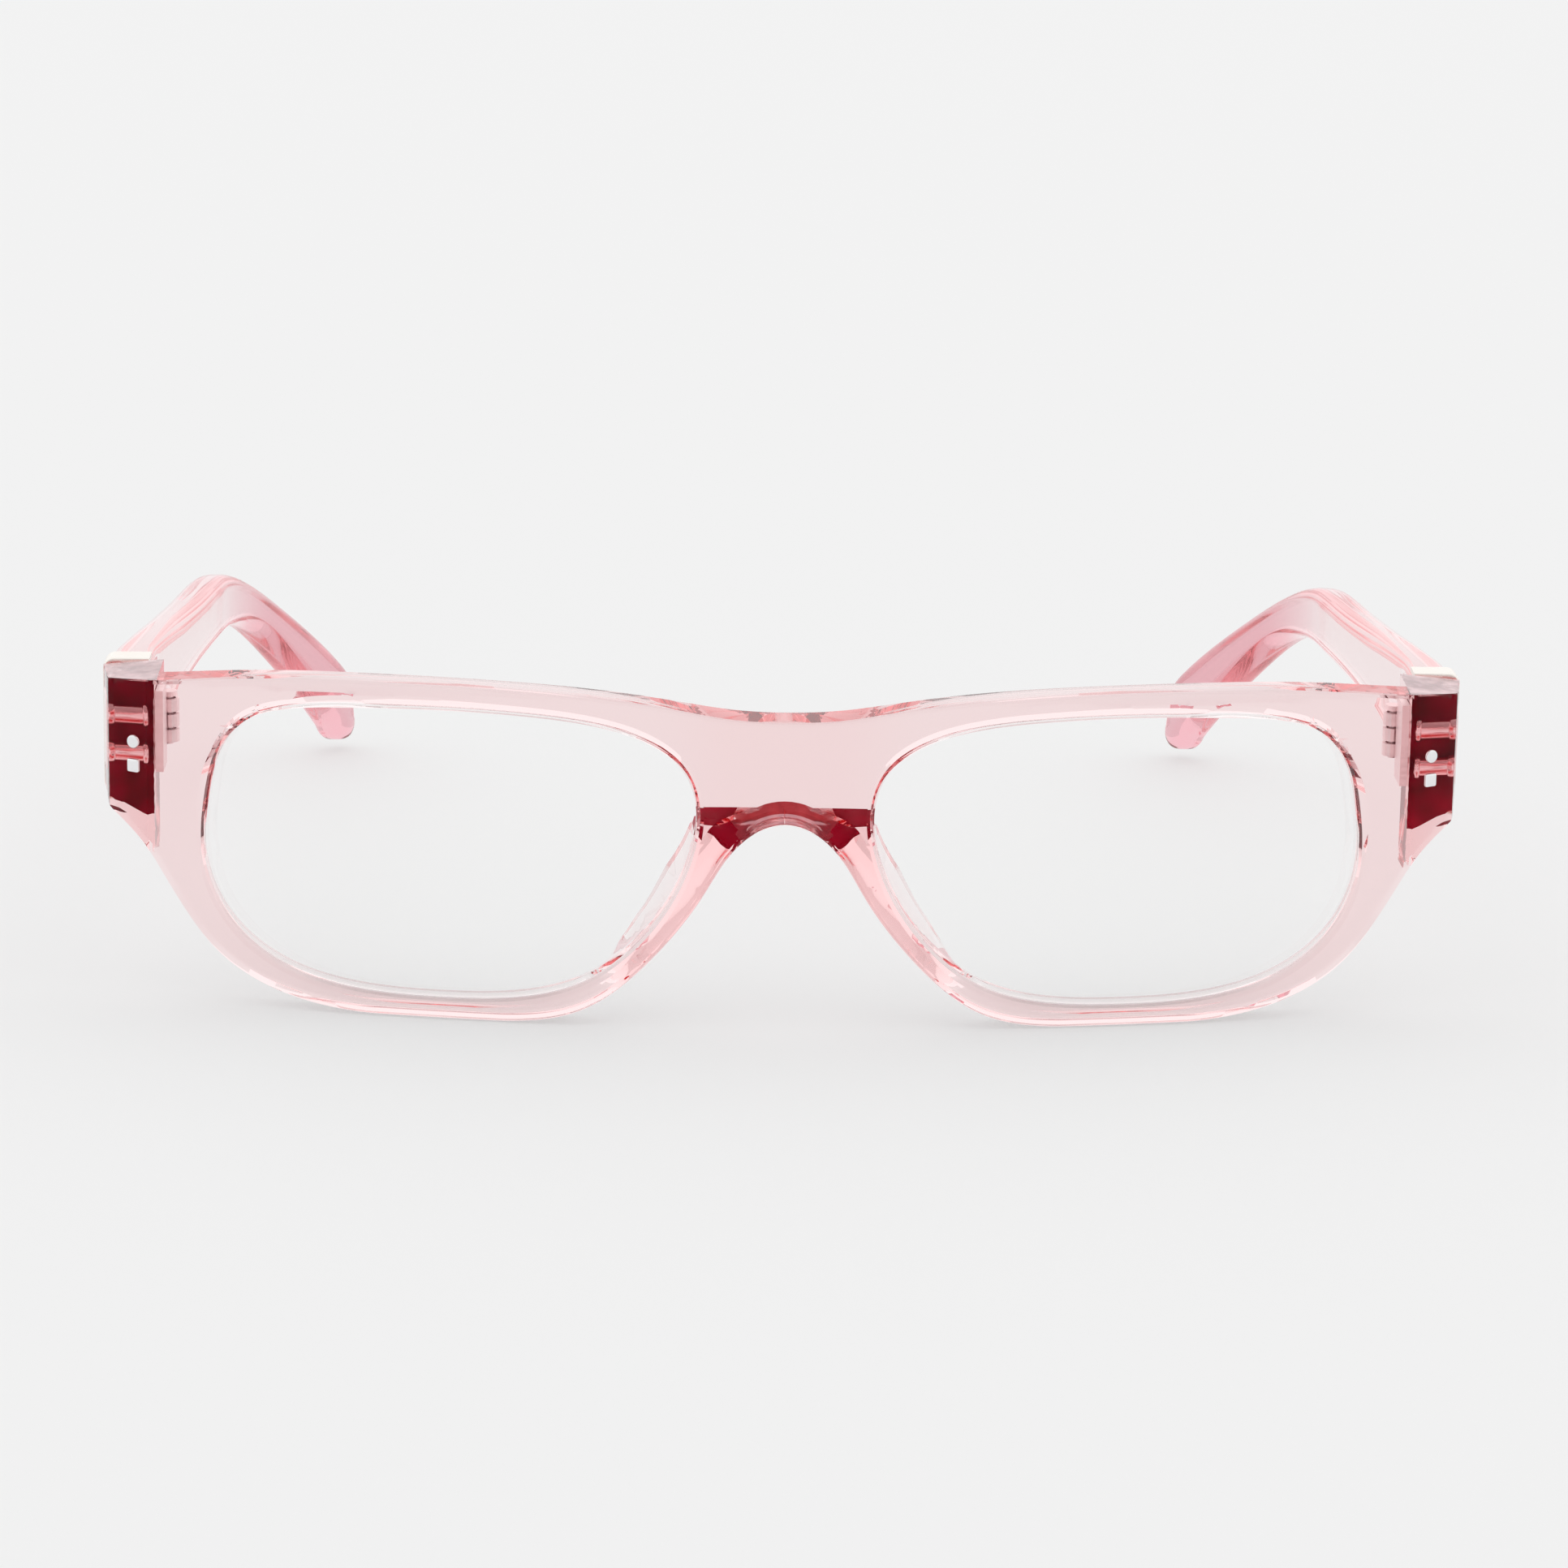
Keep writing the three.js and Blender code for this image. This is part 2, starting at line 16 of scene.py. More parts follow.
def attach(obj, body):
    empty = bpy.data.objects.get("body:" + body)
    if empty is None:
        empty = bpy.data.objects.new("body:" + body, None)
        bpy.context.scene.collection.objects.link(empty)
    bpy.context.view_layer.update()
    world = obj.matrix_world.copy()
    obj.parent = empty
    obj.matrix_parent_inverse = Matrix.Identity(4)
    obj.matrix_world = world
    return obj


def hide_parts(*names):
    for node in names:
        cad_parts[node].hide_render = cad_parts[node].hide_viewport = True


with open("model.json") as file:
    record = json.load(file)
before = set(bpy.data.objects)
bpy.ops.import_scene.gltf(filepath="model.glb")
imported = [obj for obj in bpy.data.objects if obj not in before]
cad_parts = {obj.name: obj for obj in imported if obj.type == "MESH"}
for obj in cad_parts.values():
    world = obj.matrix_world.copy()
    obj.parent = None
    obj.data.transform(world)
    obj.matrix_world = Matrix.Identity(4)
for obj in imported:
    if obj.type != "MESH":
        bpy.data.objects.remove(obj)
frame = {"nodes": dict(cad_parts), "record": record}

LOG = logging.getLogger("glasses")
MM = 0.001
Points = np.ndarray
Outline = Sequence[tuple[float, float]]
Colour = tuple[float, float, float]
Tones = tuple[Colour, Colour]
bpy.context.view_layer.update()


# ---------------------------------------------------------------- curves
def spline(points: Outline, spacing: float, closed: bool = False) -> Points:
    """Run a smooth curve through points and lay it out at an even spacing.

    Args:
        points: Points that the curve passes through.
        spacing: Distance between the returned points.
        closed: Whether the curve joins up with its own start.

    Returns:
        Points along the curve. A closed curve doesn't repeat its first point.
    """
    knots = np.array(points, float)
    if closed:
        knots = np.vstack([knots, knots[:1]])
    step = np.linalg.norm(np.diff(knots, axis=0), axis=1)
    where = np.concatenate([[0], np.cumsum(step)])
    count = len(knots)
    system = np.eye(count)
    right = np.zeros((count, 2))
    slope = np.diff(knots, axis=0) / step[:, None]
    for i in range(1, count - 1):
        system[i, i - 1:i + 2] = step[i - 1], 2 * (step[i - 1] + step[i]), step[i]
        right[i] = 6 * (slope[i] - slope[i - 1])
    if closed:
        system[0, [0, 1, -2]] = 2 * (step[0] + step[-1]), step[0], step[-1]
        right[0] = 6 * (slope[0] - slope[-1])
        system[-1, :] = 0
        system[-1, [0, -1]] = 1, -1
    bend = np.linalg.solve(system, right)
    fine = np.linspace(0, where[-1], max(400, int(where[-1] / spacing) * 8))
    span = np.clip(np.searchsorted(where, fine, side="right") - 1, 0, count - 2)
    h = step[span][:, None]
    a = (where[span + 1] - fine)[:, None] / h
    b = 1 - a
    curve = a * knots[span] + b * knots[span + 1] + (
        (a ** 3 - a) * bend[span] + (b ** 3 - b) * bend[span + 1]) * h ** 2 / 6
    return evenly(curve, spacing, closed)


def evenly(curve: Points, spacing: float, closed: bool = False) -> Points:
    """Lay points out at an even spacing along a polyline.

    Args:
        curve: The polyline's points.
        spacing: Distance between the returned points.
        closed: Whether the last point repeats the first and is to be dropped.

    Returns:
        The evenly spaced points.
    """
    run = np.concatenate([[0], np.cumsum(np.linalg.norm(np.diff(curve, axis=0), axis=1))])
    count = max(2, int(round(run[-1] / spacing))) + 1
    at = np.linspace(0, run[-1], count)
    points = np.stack([np.interp(at, run, curve[:, k]) for k in range(curve.shape[1])], axis=1)
    return points[:-1] if closed else points


def half_of_mirrored(points: Outline, spacing: float) -> Points:
    """Run a smooth curve that starts square to the middle line.

    Args:
        points: Points from the middle line (X = 0) outwards.
        spacing: Distance between the returned points.

    Returns:
        Points of the outer half, from X = 0 outwards.
    """
    other = [(-x, z) for x, z in points[1:]][::-1]
    whole = spline([*other, *points], spacing / 4)
    run = whole[whole[:, 0] > 1e-6]
    middle = [[0.0, np.interp(0.0, whole[:, 0], whole[:, 1])]]
    return evenly(np.vstack([middle, run]), spacing)


class Track:
    """A polyline that answers how far a point lies from it, and where."""

    def __init__(self, points: Points, closed: bool = False) -> None:
        """Keep the polyline's segments and their running length.

        Args:
            points: The polyline's points.
            closed: Whether the last point joins the first.
        """
        self.points = np.vstack([points, points[:1]]) if closed else points
        self.start = self.points[:-1]
        self.run = np.diff(self.points, axis=0)
        self.size = np.maximum((self.run ** 2).sum(1), 1e-12)
        self.lengths = np.sqrt(self.size)
        self.before = np.concatenate([[0], np.cumsum(self.lengths)[:-1]])
        self.total = float(self.lengths.sum())

    def nearest(self, where: Points) -> tuple[Points, Points, Points]:
        """Find the nearest place on the polyline to each point.

        Args:
            where: Points in the same plane.

        Returns:
            The signed distance (positive to the left of the run), the
            fraction of the length at the nearest place, and that place.
        """
        gap = where[:, None, :] - self.start[None]
        along = np.clip((gap * self.run[None]).sum(2) / self.size[None], 0, 1)
        spot = self.start[None] + along[..., None] * self.run[None]
        far = np.linalg.norm(where[:, None, :] - spot, axis=2)
        best = far.argmin(1)
        rows = np.arange(len(where))
        gap, run = gap[rows, best], self.run[best]
        side = np.sign(run[:, 0] * gap[:, 1] - run[:, 1] * gap[:, 0])
        fraction = (self.before[best] + along[rows, best] * self.lengths[best]) / self.total
        return far[rows, best] * side, fraction, spot[rows, best]

    def normals(self) -> Points:
        """Unit normals to the left of the run at each point of a closed polyline.

        Returns:
            One normal for each point.
        """
        run = self.run / np.sqrt(self.size)[:, None]
        mean = run + np.roll(run, 1, axis=0)
        mean /= np.linalg.norm(mean, axis=1)[:, None]
        return np.stack([-mean[:, 1], mean[:, 0]], axis=1)


def inside(polygon: Points, where: Points) -> Points:
    """Say which points lie inside a polygon.

    Args:
        polygon: The polygon's corners.
        where: Points to test.

    Returns:
        One truth value per point.
    """
    a, b = polygon, np.roll(polygon, -1, axis=0)
    x, z = where[:, None, 0], where[:, None, 1]
    crossing = (a[None, :, 1] > z) != (b[None, :, 1] > z)
    height = np.where(np.abs(b[:, 1] - a[:, 1]) < 1e-12, 1e-12, b[:, 1] - a[:, 1])
    at = a[None, :, 0] + (z - a[None, :, 1]) / height[None] * (b - a)[None, :, 0]
    return ((crossing & (x < at)).sum(1) % 2) == 1


def sides(tri: tuple[int, int, int]) -> list[tuple[int, int]]:
    """The three sides of a triangle, in order."""
    return list(zip(tri, (*tri[1:], tri[0])))


def ease(value: Points | float) -> Points:
    """Smooth step from 0 to 1."""
    t = np.clip(value, 0, 1)
    return t * t * (3 - 2 * t)


# ---------------------------------------------------------------- placing and joining
class Side(Enum):
    """The side of the face, as the front is looked at."""

    RIGHT = 1
    LEFT = -1

    @property
    def word(self) -> str:
        """Prefix of the side's node names."""
        return self.name.lower()

    @property
    def arm(self) -> str:
        """Body of the side's temple."""
        return f"{self.word}_arm"


@dataclass(frozen=True)
class Hinge:
    """Middle of the right hinge in the front's upright frame, in millimetres."""

    x: float = 66.2
    y: float = 21.2
    z: float = 28.6


class Placement:
    """Carries points from the front's upright frame to the leaned object."""

    def __init__(self, record: dict) -> None:
        """Take the lean and the place from the right temple's joint.

        Args:
            record: The loaded record.
        """
        joint = next(j for j in record["behaviour"]["joints"] if j["name"] == "right_temple_fold")
        axis, place, hinge = joint["axis"], joint["pos_m"], Hinge()
        self.lean = math.atan2(-axis[1], axis[2])
        self.shift = np.zeros(3)
        self.shift = np.array(place) - self.world(np.array([[hinge.x, hinge.y, hinge.z]]))[0]

    def world(self, local: Points) -> Points:
        """Turn upright millimetres into placed metres.

        Args:
            local: Points in the upright frame.

        Returns:
            The placed points.
        """
        c, s = math.cos(self.lean), math.sin(self.lean)
        x, y, z = local.T
        return np.stack([x, y * c - z * s, y * s + z * c], axis=1) * MM + self.shift


@dataclass
class Draft:
    """A mesh being drawn, in upright millimetres."""

    points: list[Points] = field(default_factory=list)
    faces: list[tuple[int, ...]] = field(default_factory=list)
    finish: list[int] = field(default_factory=list)
    count: int = 0

    def add(self, points: Points) -> int:
        """Add points and return the index of the first.

        Args:
            points: One point or more.

        Returns:
            Index of the first.
        """
        self.points.append(np.asarray(points, float).reshape(-1, 3))
        first = self.count
        self.count += len(self.points[-1])
        return first

    def face(self, *corners: int, finish: int = 0) -> None:
        """Add one face."""
        self.faces.append(tuple(int(c) for c in corners))
        self.finish.append(finish)

    def rings(self, rings: Sequence[Points], caps: tuple[bool, bool] = (True, True),
              start_finish: int = 0) -> None:
        """Skin a run of closed rings.

        Args:
            rings: Rings of equal length, each counter-clockwise about the run.
            caps: Whether the first and the last ring are closed off.
            start_finish: Finish of the face that closes the first ring.
        """
        size = len(rings[0])
        starts = [self.add(ring) for ring in rings]
        for low, high in zip(starts, starts[1:]):
            for k in range(size):
                n = (k + 1) % size
                self.face(low + k, low + n, high + n, high + k)
        for ring, start, cap, flip in ((rings[0], starts[0], caps[0], True),
                                       (rings[-1], starts[-1], caps[1], False)):
            if cap:
                middle = self.add(np.mean(ring, axis=0)[None])
                for k in range(size):
                    edge = (start + k, start + (k + 1) % size)
                    self.face(*(edge[::-1] if flip else edge), middle, finish=start_finish if flip else 0)

    def piece(self, name: str, side: Side, place: Placement, dress: "Dress") -> bpy.types.Object:
        """Make the drawn mesh a placed, riding piece.

        Args:
            name: The piece's name.
            side: The side it is for; the left side is mirrored.
            place: The upright frame's placement.
            dress: Its body, replaced nodes and finishes.

        Returns:
            The new object.
        """
        local = np.vstack(self.points)
        local[:, 0] *= side.value
        mesh = bpy.data.meshes.new(name)
        faces = self.faces if side is Side.RIGHT else [f[::-1] for f in self.faces]
        mesh.from_pydata(place.world(local).tolist(), [], faces)
        mesh.validate()
        for finish in dress.finishes:
            mesh.materials.append(finish)
        mesh.polygons.foreach_set("material_index", self.finish)
        tidy = bmesh.new()
        tidy.from_mesh(mesh)
        bmesh.ops.remove_doubles(tidy, verts=tidy.verts, dist=1e-6)
        bmesh.ops.delete(tidy, geom=[v for v in tidy.verts if not v.link_faces], context="VERTS")
        bmesh.ops.recalc_face_normals(tidy, faces=tidy.faces)
        tidy.to_mesh(mesh)
        tidy.free()
        mesh.shade_smooth()
        mesh.set_sharp_from_angle(angle=math.radians(dress.sharp))
        piece = bpy.data.objects.new(name, mesh)
        bpy.context.scene.collection.objects.link(piece)
        normals = piece.modifiers.new("even shading", "WEIGHTED_NORMAL")
        normals.keep_sharp = True
        normals.weight = 60
        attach(piece, dress.body)
        if dress.stands_for:
            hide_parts(*dress.stands_for)
        LOG.info("%s rides on %s with %d faces", name, dress.body, len(mesh.polygons))
        return piece


@dataclass(frozen=True)
class Dress:
    """How a piece is finished and what it moves with."""

    body: str
    slot: str
    finishes: tuple[bpy.types.Material, ...]
    stands_for: tuple[str, ...] = ()
    sharp: float = 50.0


# ---------------------------------------------------------------- finishes
class NodeBoard:
    """A short way to lay out a material's nodes."""

    def __init__(self, name: str) -> None:
        """Start an empty node material.

        Args:
            name: The material's name.
        """
        self.material = bpy.data.materials.new(name)
        self.material.use_nodes = True
        self.tree = self.material.node_tree
        self.tree.nodes.clear()
        self.output = self.tree.nodes.new("ShaderNodeOutputMaterial")

    def node(self, kind: str, **values: object) -> bpy.types.Node:
        """Add a node and set its properties or input sockets.

        Args:
            kind: The node's type.
            values: Properties, or socket names with spaces as underscores.

        Returns:
            The new node.
        """
        made = self.tree.nodes.new(kind)
        for key, value in values.items():
            socket = made.inputs.get(key.replace("_", " "))
            if socket is not None:
                socket.default_value = value
            else:
                setattr(made, key, value)
        return made

    def link(self, out: bpy.types.NodeSocket, into: bpy.types.NodeSocket) -> None:
        """Join two sockets."""
        self.tree.links.new(out, into)

    def noise(self, scale: float, detail: float = 3.0) -> bpy.types.NodeSocket:
        """Add three-dimensional noise fixed to the piece and return its value.

        Args:
            scale: Scale of the noise.
            detail: Detail of the noise.

        Returns:
            The noise's value.
        """
        place = self.node("ShaderNodeTexCoord")
        noise = self.node("ShaderNodeTexNoise", Scale=scale, Detail=detail)
        self.link(place.outputs["Object"], noise.inputs["Vector"])
        return noise.outputs["Fac"]

    def spread(self, value: bpy.types.NodeSocket, low: float, high: float) -> bpy.types.NodeSocket:
        """Stretch a 0 to 1 value between two limits and return the result.

        Args:
            value: The value.
            low: Result at 0.
            high: Result at 1.

        Returns:
            The stretched value.
        """
        ranged = self.node("ShaderNodeMapRange", From_Min=0.3, From_Max=0.7, To_Min=low, To_Max=high)
        self.link(value, ranged.inputs["Value"])
        return ranged.outputs["Result"]

    def mottle(self, body: bpy.types.Node, scale: float, detail: float, tones: Tones,
               stops: tuple[float, float] = (0.0, 1.0)) -> None:
        """Vary a shader's base colour between two tones with noise.

        Args:
            body: The shader.
            scale: Scale of the noise.
            detail: Detail of the noise.
            tones: The two colours.
            stops: Noise values at which each colour is reached.
        """
        ramp = self.node("ShaderNodeValToRGB")
        for stop, at, tone in zip(ramp.color_ramp.elements, stops, tones):
            stop.position = at
            stop.color = (*tone, 1)
        self.link(self.noise(scale, detail), ramp.inputs["Fac"])
        self.link(ramp.outputs["Color"], body.inputs["Base Color"])

    def surface(self, body: bpy.types.Node) -> bpy.types.Material:
        """Put a shader on the surface and return the material."""
        self.link(body.outputs["BSDF"], self.output.inputs["Surface"])
        return self.material

    def bump(self, height: bpy.types.NodeSocket, strength: float, depth: float) -> bpy.types.NodeSocket:
        """Add a bump from a height and return its normal.

        Args:
            height: The height.
            strength: Strength of the bump.
            depth: Height of a full step, in metres.

        Returns:
            The bent normal.
        """
        made = self.node("ShaderNodeBump", Strength=strength, Distance=depth)
        self.link(height, made.inputs["Height"])
        return made.outputs["Normal"]


@dataclass(frozen=True)
class Acetate:
    """Clear tinted acetate: light is lost inside it, most of all green and blue."""

    name: str = "clear pink acetate"
    refraction: float = 1.49
    loss_colour: Colour = (0.95, 0.08, 0.10)
    loss_per_metre: float = 50.0
    roughness: tuple[float, float] = (0.0, 0.015)
    sheen: Colour = (0.25, 0.12, 0.16)
    ripple: float = 0.02
    ripple_scale: float = 90.0
    # These two fields paint the base colour deeper over a range of Y: painted shade for the colour of long
    # light paths.
    painted_deepening: tuple[float, float] = (0.0, 0.0)
    painted_deep_tint: Colour = (0.88, 0.50, 0.56)

    def make(self) -> bpy.types.Material:
        """Build the material.

        Returns:
            The new material.
        """
        board = NodeBoard(self.name)
        body = board.node("ShaderNodeBsdfPrincipled", Base_Color=(1.0, 0.99, 0.99, 1), IOR=self.refraction)
        body.inputs["Transmission Weight"].default_value = 1.0
        body.inputs["Specular Tint"].default_value = (*self.sheen, 1)
        board.link(board.spread(board.noise(400.0), *self.roughness), body.inputs["Roughness"])
        if self.painted_deepening[1] > self.painted_deepening[0]:
            self._paint_deepening(board, body)
        ripple = board.bump(board.noise(self.ripple_scale, 1.0), self.ripple, 0.0004)
        board.link(ripple, body.inputs["Normal"])
        inner = board.node("ShaderNodeVolumeAbsorption", Color=(*self.loss_colour, 1),
                           Density=self.loss_per_metre)
        board.link(inner.outputs["Volume"], board.output.inputs["Volume"])
        return board.surface(body)


    def _paint_deepening(self, board: NodeBoard, body: bpy.types.Node) -> None:
        """Paint the base colour deeper towards the far end of a piece: painted shade for the deeper crimson
        that light picks up along long paths through the temple.

        Args:
            board: The material's board.
            body: Its shader.
        """
        place = board.node("ShaderNodeTexCoord")
        split = board.node("ShaderNodeSeparateXYZ")
        along = board.node("ShaderNodeMapRange", From_Min=self.painted_deepening[0], From_Max=self.painted_deepening[1])
        ramp = board.node("ShaderNodeValToRGB")
        ramp.color_ramp.elements[0].color = (1.0, 0.99, 0.99, 1)
        ramp.color_ramp.elements[1].color = (*self.painted_deep_tint, 1)
        board.link(place.outputs["Object"], split.inputs["Vector"])
        board.link(split.outputs["Y"], along.inputs["Value"])
        board.link(along.outputs["Result"], ramp.inputs["Fac"])
        board.link(ramp.outputs["Color"], body.inputs["Base Color"])


@dataclass(frozen=True)
class PaintedCrimson:
    """Painted deep crimson: an opaque stand-in for the colour that light takes on along long paths and inner
    reflections in the clear acetate.
    """

    name: str = "painted deep crimson acetate"
    tones: Tones = ((0.20, 0.0005, 0.008), (0.52, 0.002, 0.035))

    def make(self) -> bpy.types.Material:
        """Build the material.

        Returns:
            The new material.
        """
        board = NodeBoard(self.name)
        body = board.node("ShaderNodeBsdfPrincipled")
        body.inputs["Specular IOR Level"].default_value = 0.03
        board.mottle(body, 240.0, 1.0, self.tones, (0.35, 0.7))
        board.link(board.spread(board.noise(500.0), 0.25, 0.4), body.inputs["Roughness"])
        return board.surface(body)


@dataclass(frozen=True)
class PaintedSoftAcetate:
    """Acetate that scatters part of the light and lets part through; used only as painted light, paler or
    rosier copies of the clear acetate on chosen faces.
    """

    name: str
    colour: Colour
    through: float = 0.5

    def make(self) -> bpy.types.Material:
        """Build the material.

        Returns:
            The new material.
        """
        board = NodeBoard(self.name)
        body = board.node("ShaderNodeBsdfPrincipled", IOR=1.49)
        body.inputs["Transmission Weight"].default_value = self.through
        body.inputs["Specular Tint"].default_value = (0.25, 0.12, 0.16, 1)
        darker = tuple(tone * 0.72 for tone in self.colour)
        board.mottle(body, 700.0, 2.0, (darker, self.colour), (0.4, 0.65))
        board.link(board.spread(board.noise(500.0), 0.05, 0.2), body.inputs["Roughness"])
        return board.surface(body)


@dataclass(frozen=True)
class LensCoat:
    """Clear lens with an anti-reflection coating."""

    name: str = "clear coated lens"
    refraction: float = 1.5

    def make(self) -> bpy.types.Material:
        """Build the material.

        Returns:
            The new material.
        """
        board = NodeBoard(self.name)
        body = board.node("ShaderNodeBsdfPrincipled", Base_Color=(0.996, 1.0, 0.998, 1),
                          IOR=self.refraction)
        body.inputs["Transmission Weight"].default_value = 1.0
        body.inputs["Specular IOR Level"].default_value = 0.25
        board.link(board.spread(board.noise(300.0), 0.0, 0.006), body.inputs["Roughness"])
        return board.surface(body)


@dataclass(frozen=True)
class Metal:
    """Polished metal with fine wiping marks and a slight tone change."""

    name: str
    light: Colour
    dark: Colour
    roughness: tuple[float, float] = (0.10, 0.22)
    marks: float = 0.15

    def make(self) -> bpy.types.Material:
        """Build the material.

        Returns:
            The new material.
        """
        board = NodeBoard(self.name)
        body = board.node("ShaderNodeBsdfPrincipled", Metallic=1.0)
        board.mottle(body, 260.0, 3.0, (self.dark, self.light))
        place = board.node("ShaderNodeTexCoord")
        stretch = board.node("ShaderNodeMapping", Scale=(260.0, 260.0, 5200.0))
        marks = board.node("ShaderNodeTexNoise", Scale=1.0, Detail=4.0)
        board.link(place.outputs["Object"], stretch.inputs["Vector"])
        board.link(stretch.outputs["Vector"], marks.inputs["Vector"])
        board.link(board.spread(marks.outputs["Fac"], *self.roughness), body.inputs["Roughness"])
        board.link(board.bump(marks.outputs["Fac"], self.marks, 0.00002), body.inputs["Normal"])
        return board.surface(body)


class Finishes:
    """Every finish of the object, made once."""

    def __init__(self) -> None:
        """Build the materials."""
        self.acetate = Acetate().make()
        # The temple's base colour is painted deeper towards its far end, as painted shade for long light
        # paths.
        self.shank = Acetate("clear pink temple acetate", loss_per_metre=24.0,
                             painted_deepening=(0.005, 0.036)).make()
        # Painted deep crimson for the end pieces' joint faces and the temples' front ends, standing in for
        # light run long through the acetate.
        self.deep = PaintedCrimson().make()
        # Painted pale top: a lit copy of the clear acetate for the end pieces' top band.
        self.top = PaintedSoftAcetate("painted pale top acetate", (0.88, 0.62, 0.64), 0.35).make()
        # Painted rosy colour under the arch, standing in for light reflected inside the acetate.
        self.arch = PaintedSoftAcetate("painted rosy arch acetate", (0.80, 0.34, 0.38), 0.6).make()
        # Painted crimson on the pads' tops, standing in for light darkened along long paths and inner
        # reflections in the acetate.
        self.painted_pad_crimson = PaintedCrimson("gathered crimson acetate",
                                    ((0.34, 0.001, 0.012), (0.62, 0.004, 0.05))).make()
        self.lens = LensCoat().make()
        self.silver = Metal("polished pale metal", (0.93, 0.93, 0.94), (0.82, 0.82, 0.83)).make()
        self.champagne = Metal("champagne metal", (0.97, 0.93, 0.88), (0.90, 0.84, 0.78), (0.22, 0.38)).make()
        self.pin = Metal("rosy pin metal", (1.0, 0.90, 0.90), (0.96, 0.78, 0.80), (0.12, 0.25), 0.05).make()
        self.hinge = Metal("hinge metal", (0.98, 0.88, 0.88), (0.90, 0.76, 0.77), (0.3, 0.5), 0.03).make()
        self.rose = Metal("rosy polished metal", (0.95, 0.80, 0.79), (0.88, 0.66, 0.67)).make()


# ---------------------------------------------------------------- the front
@dataclass(frozen=True)
class Plan:
    """Plan of the front: its curve, its bridge and its turned end pieces."""

    radius: float = 200.0
    bridge_flat: float = 5.0
    thickness: float = 4.4
    bridge_extra: float = 0.8
    bridge_blend: float = 10.0
    facet: tuple[float, float] = (67.8, 72.7)
    facet_slope: float = math.tan(math.radians(29.0))
    outer: float = 73.7
    inner: float = 67.2
    joint: float = 19.8
    ridge: float = 0.45

    def curve(self, x: Points) -> Points:
        """Depth of the plain curved face at each X."""
        past = np.maximum(0, np.abs(x) - self.bridge_flat)
        return self.radius - np.sqrt(self.radius ** 2 - past ** 2)

    def face(self, x: Points) -> Points:
        """Depth of the front face at each X, round the end piece's facets.

        Args:
            x: Distances from the middle line.

        Returns:
            The depths.
        """
        x = np.asarray(x, float)
        first = float(self.curve(np.array(self.facet[0])))
        second = first + (self.facet[1] - self.facet[0]) * self.facet_slope
        steep = (self.joint - second) / (self.outer - self.facet[1])
        turned = first + (x - self.facet[0]) * self.facet_slope
        side = second + (x - self.facet[1]) * steep
        wrapped = self._rounded_greater(turned, side, self.ridge)
        return np.where(x < self.facet[0], self.curve(np.minimum(x, self.facet[0])), wrapped)

    @staticmethod
    def _rounded_greater(a: Points, b: Points, soft: float) -> Points:
        """The greater of two depths, with the corner between them rounded."""
        return 0.5 * (a + b + np.sqrt((a - b) ** 2 + soft ** 2))

    def back(self, x: Points) -> Points:
        """Depth of the back face at each X, short of the end piece."""
        fade = np.clip(1 - (np.abs(x) - self.bridge_flat) / self.bridge_blend, 0, 1)
        return self.curve(x) + self.thickness + self.bridge_extra * ease(fade)


@dataclass(frozen=True)
class NosePad:
    """The pads that grow back out of the nasal rims and flare towards the eyes."""

    top: tuple[float, float] = (23.6, 20.4)
    foot: tuple[float, float] = (3.6, 7.0)
    depth: float = 4.3
    rise: float = 0.3
    lens_wall: tuple[float, float] = (0.12, 0.8)
    reach_x: float = 26.0
    top_from: float = 5.2
    flare_heights: tuple[float, ...] = (3.5, 6.8, 9.0, 12.4, 14.5, 18.0, 21.5)
    flare: tuple[float, ...] = (0.2, 0.8, 1.5, 1.9, 2.0, 1.4, 0.9)

    def height(self, across: Points, to_lens: Points, x: Points, z: Points) -> Points:
        """Height of the pad above the back face.

        Args:
            across: 0 at the nose edge of the rim, 1 at the lens opening.
            to_lens: Distance from the lens opening.
            x: Distance from the middle line.
            z: Height above the rims' feet.

        Returns:
            The extra depth at each point.
        """
        near, far = self.lens_wall
        profile = np.clip(across / self.rise, 0, 1) * np.clip((to_lens - near) / (far - near), 0, 1)
        upper = np.clip((self.top[0] - z) / (self.top[0] - self.top[1]), 0, 1)
        lower = ease((z - self.foot[0]) / (self.foot[1] - self.foot[0]))
        return self.depth * profile * upper * lower * (x < self.reach_x)

    def on_top(self, spot: Points, across: float) -> bool:
        """Whether a spot lies on the ramp at a pad's top.

        Args:
            spot: The spot seen from the viewer's side.
            across: 0 at the nose edge of the rim, 1 at the lens opening.

        Returns:
            True on the ramp.
        """
        x, z = spot
        return bool(self.top_from < x < self.reach_x and self.top[1] < z < self.top[0] and across > self.rise)


class Tint(IntEnum):
    """Place of each finish among the front's materials."""

    PLAIN = 0
    # Every member but PLAIN names a painted-light copy of the clear acetate.
    JOINT = 1
    PAD_TOP = 2
    END_TOP = 3
    ARCH = 4


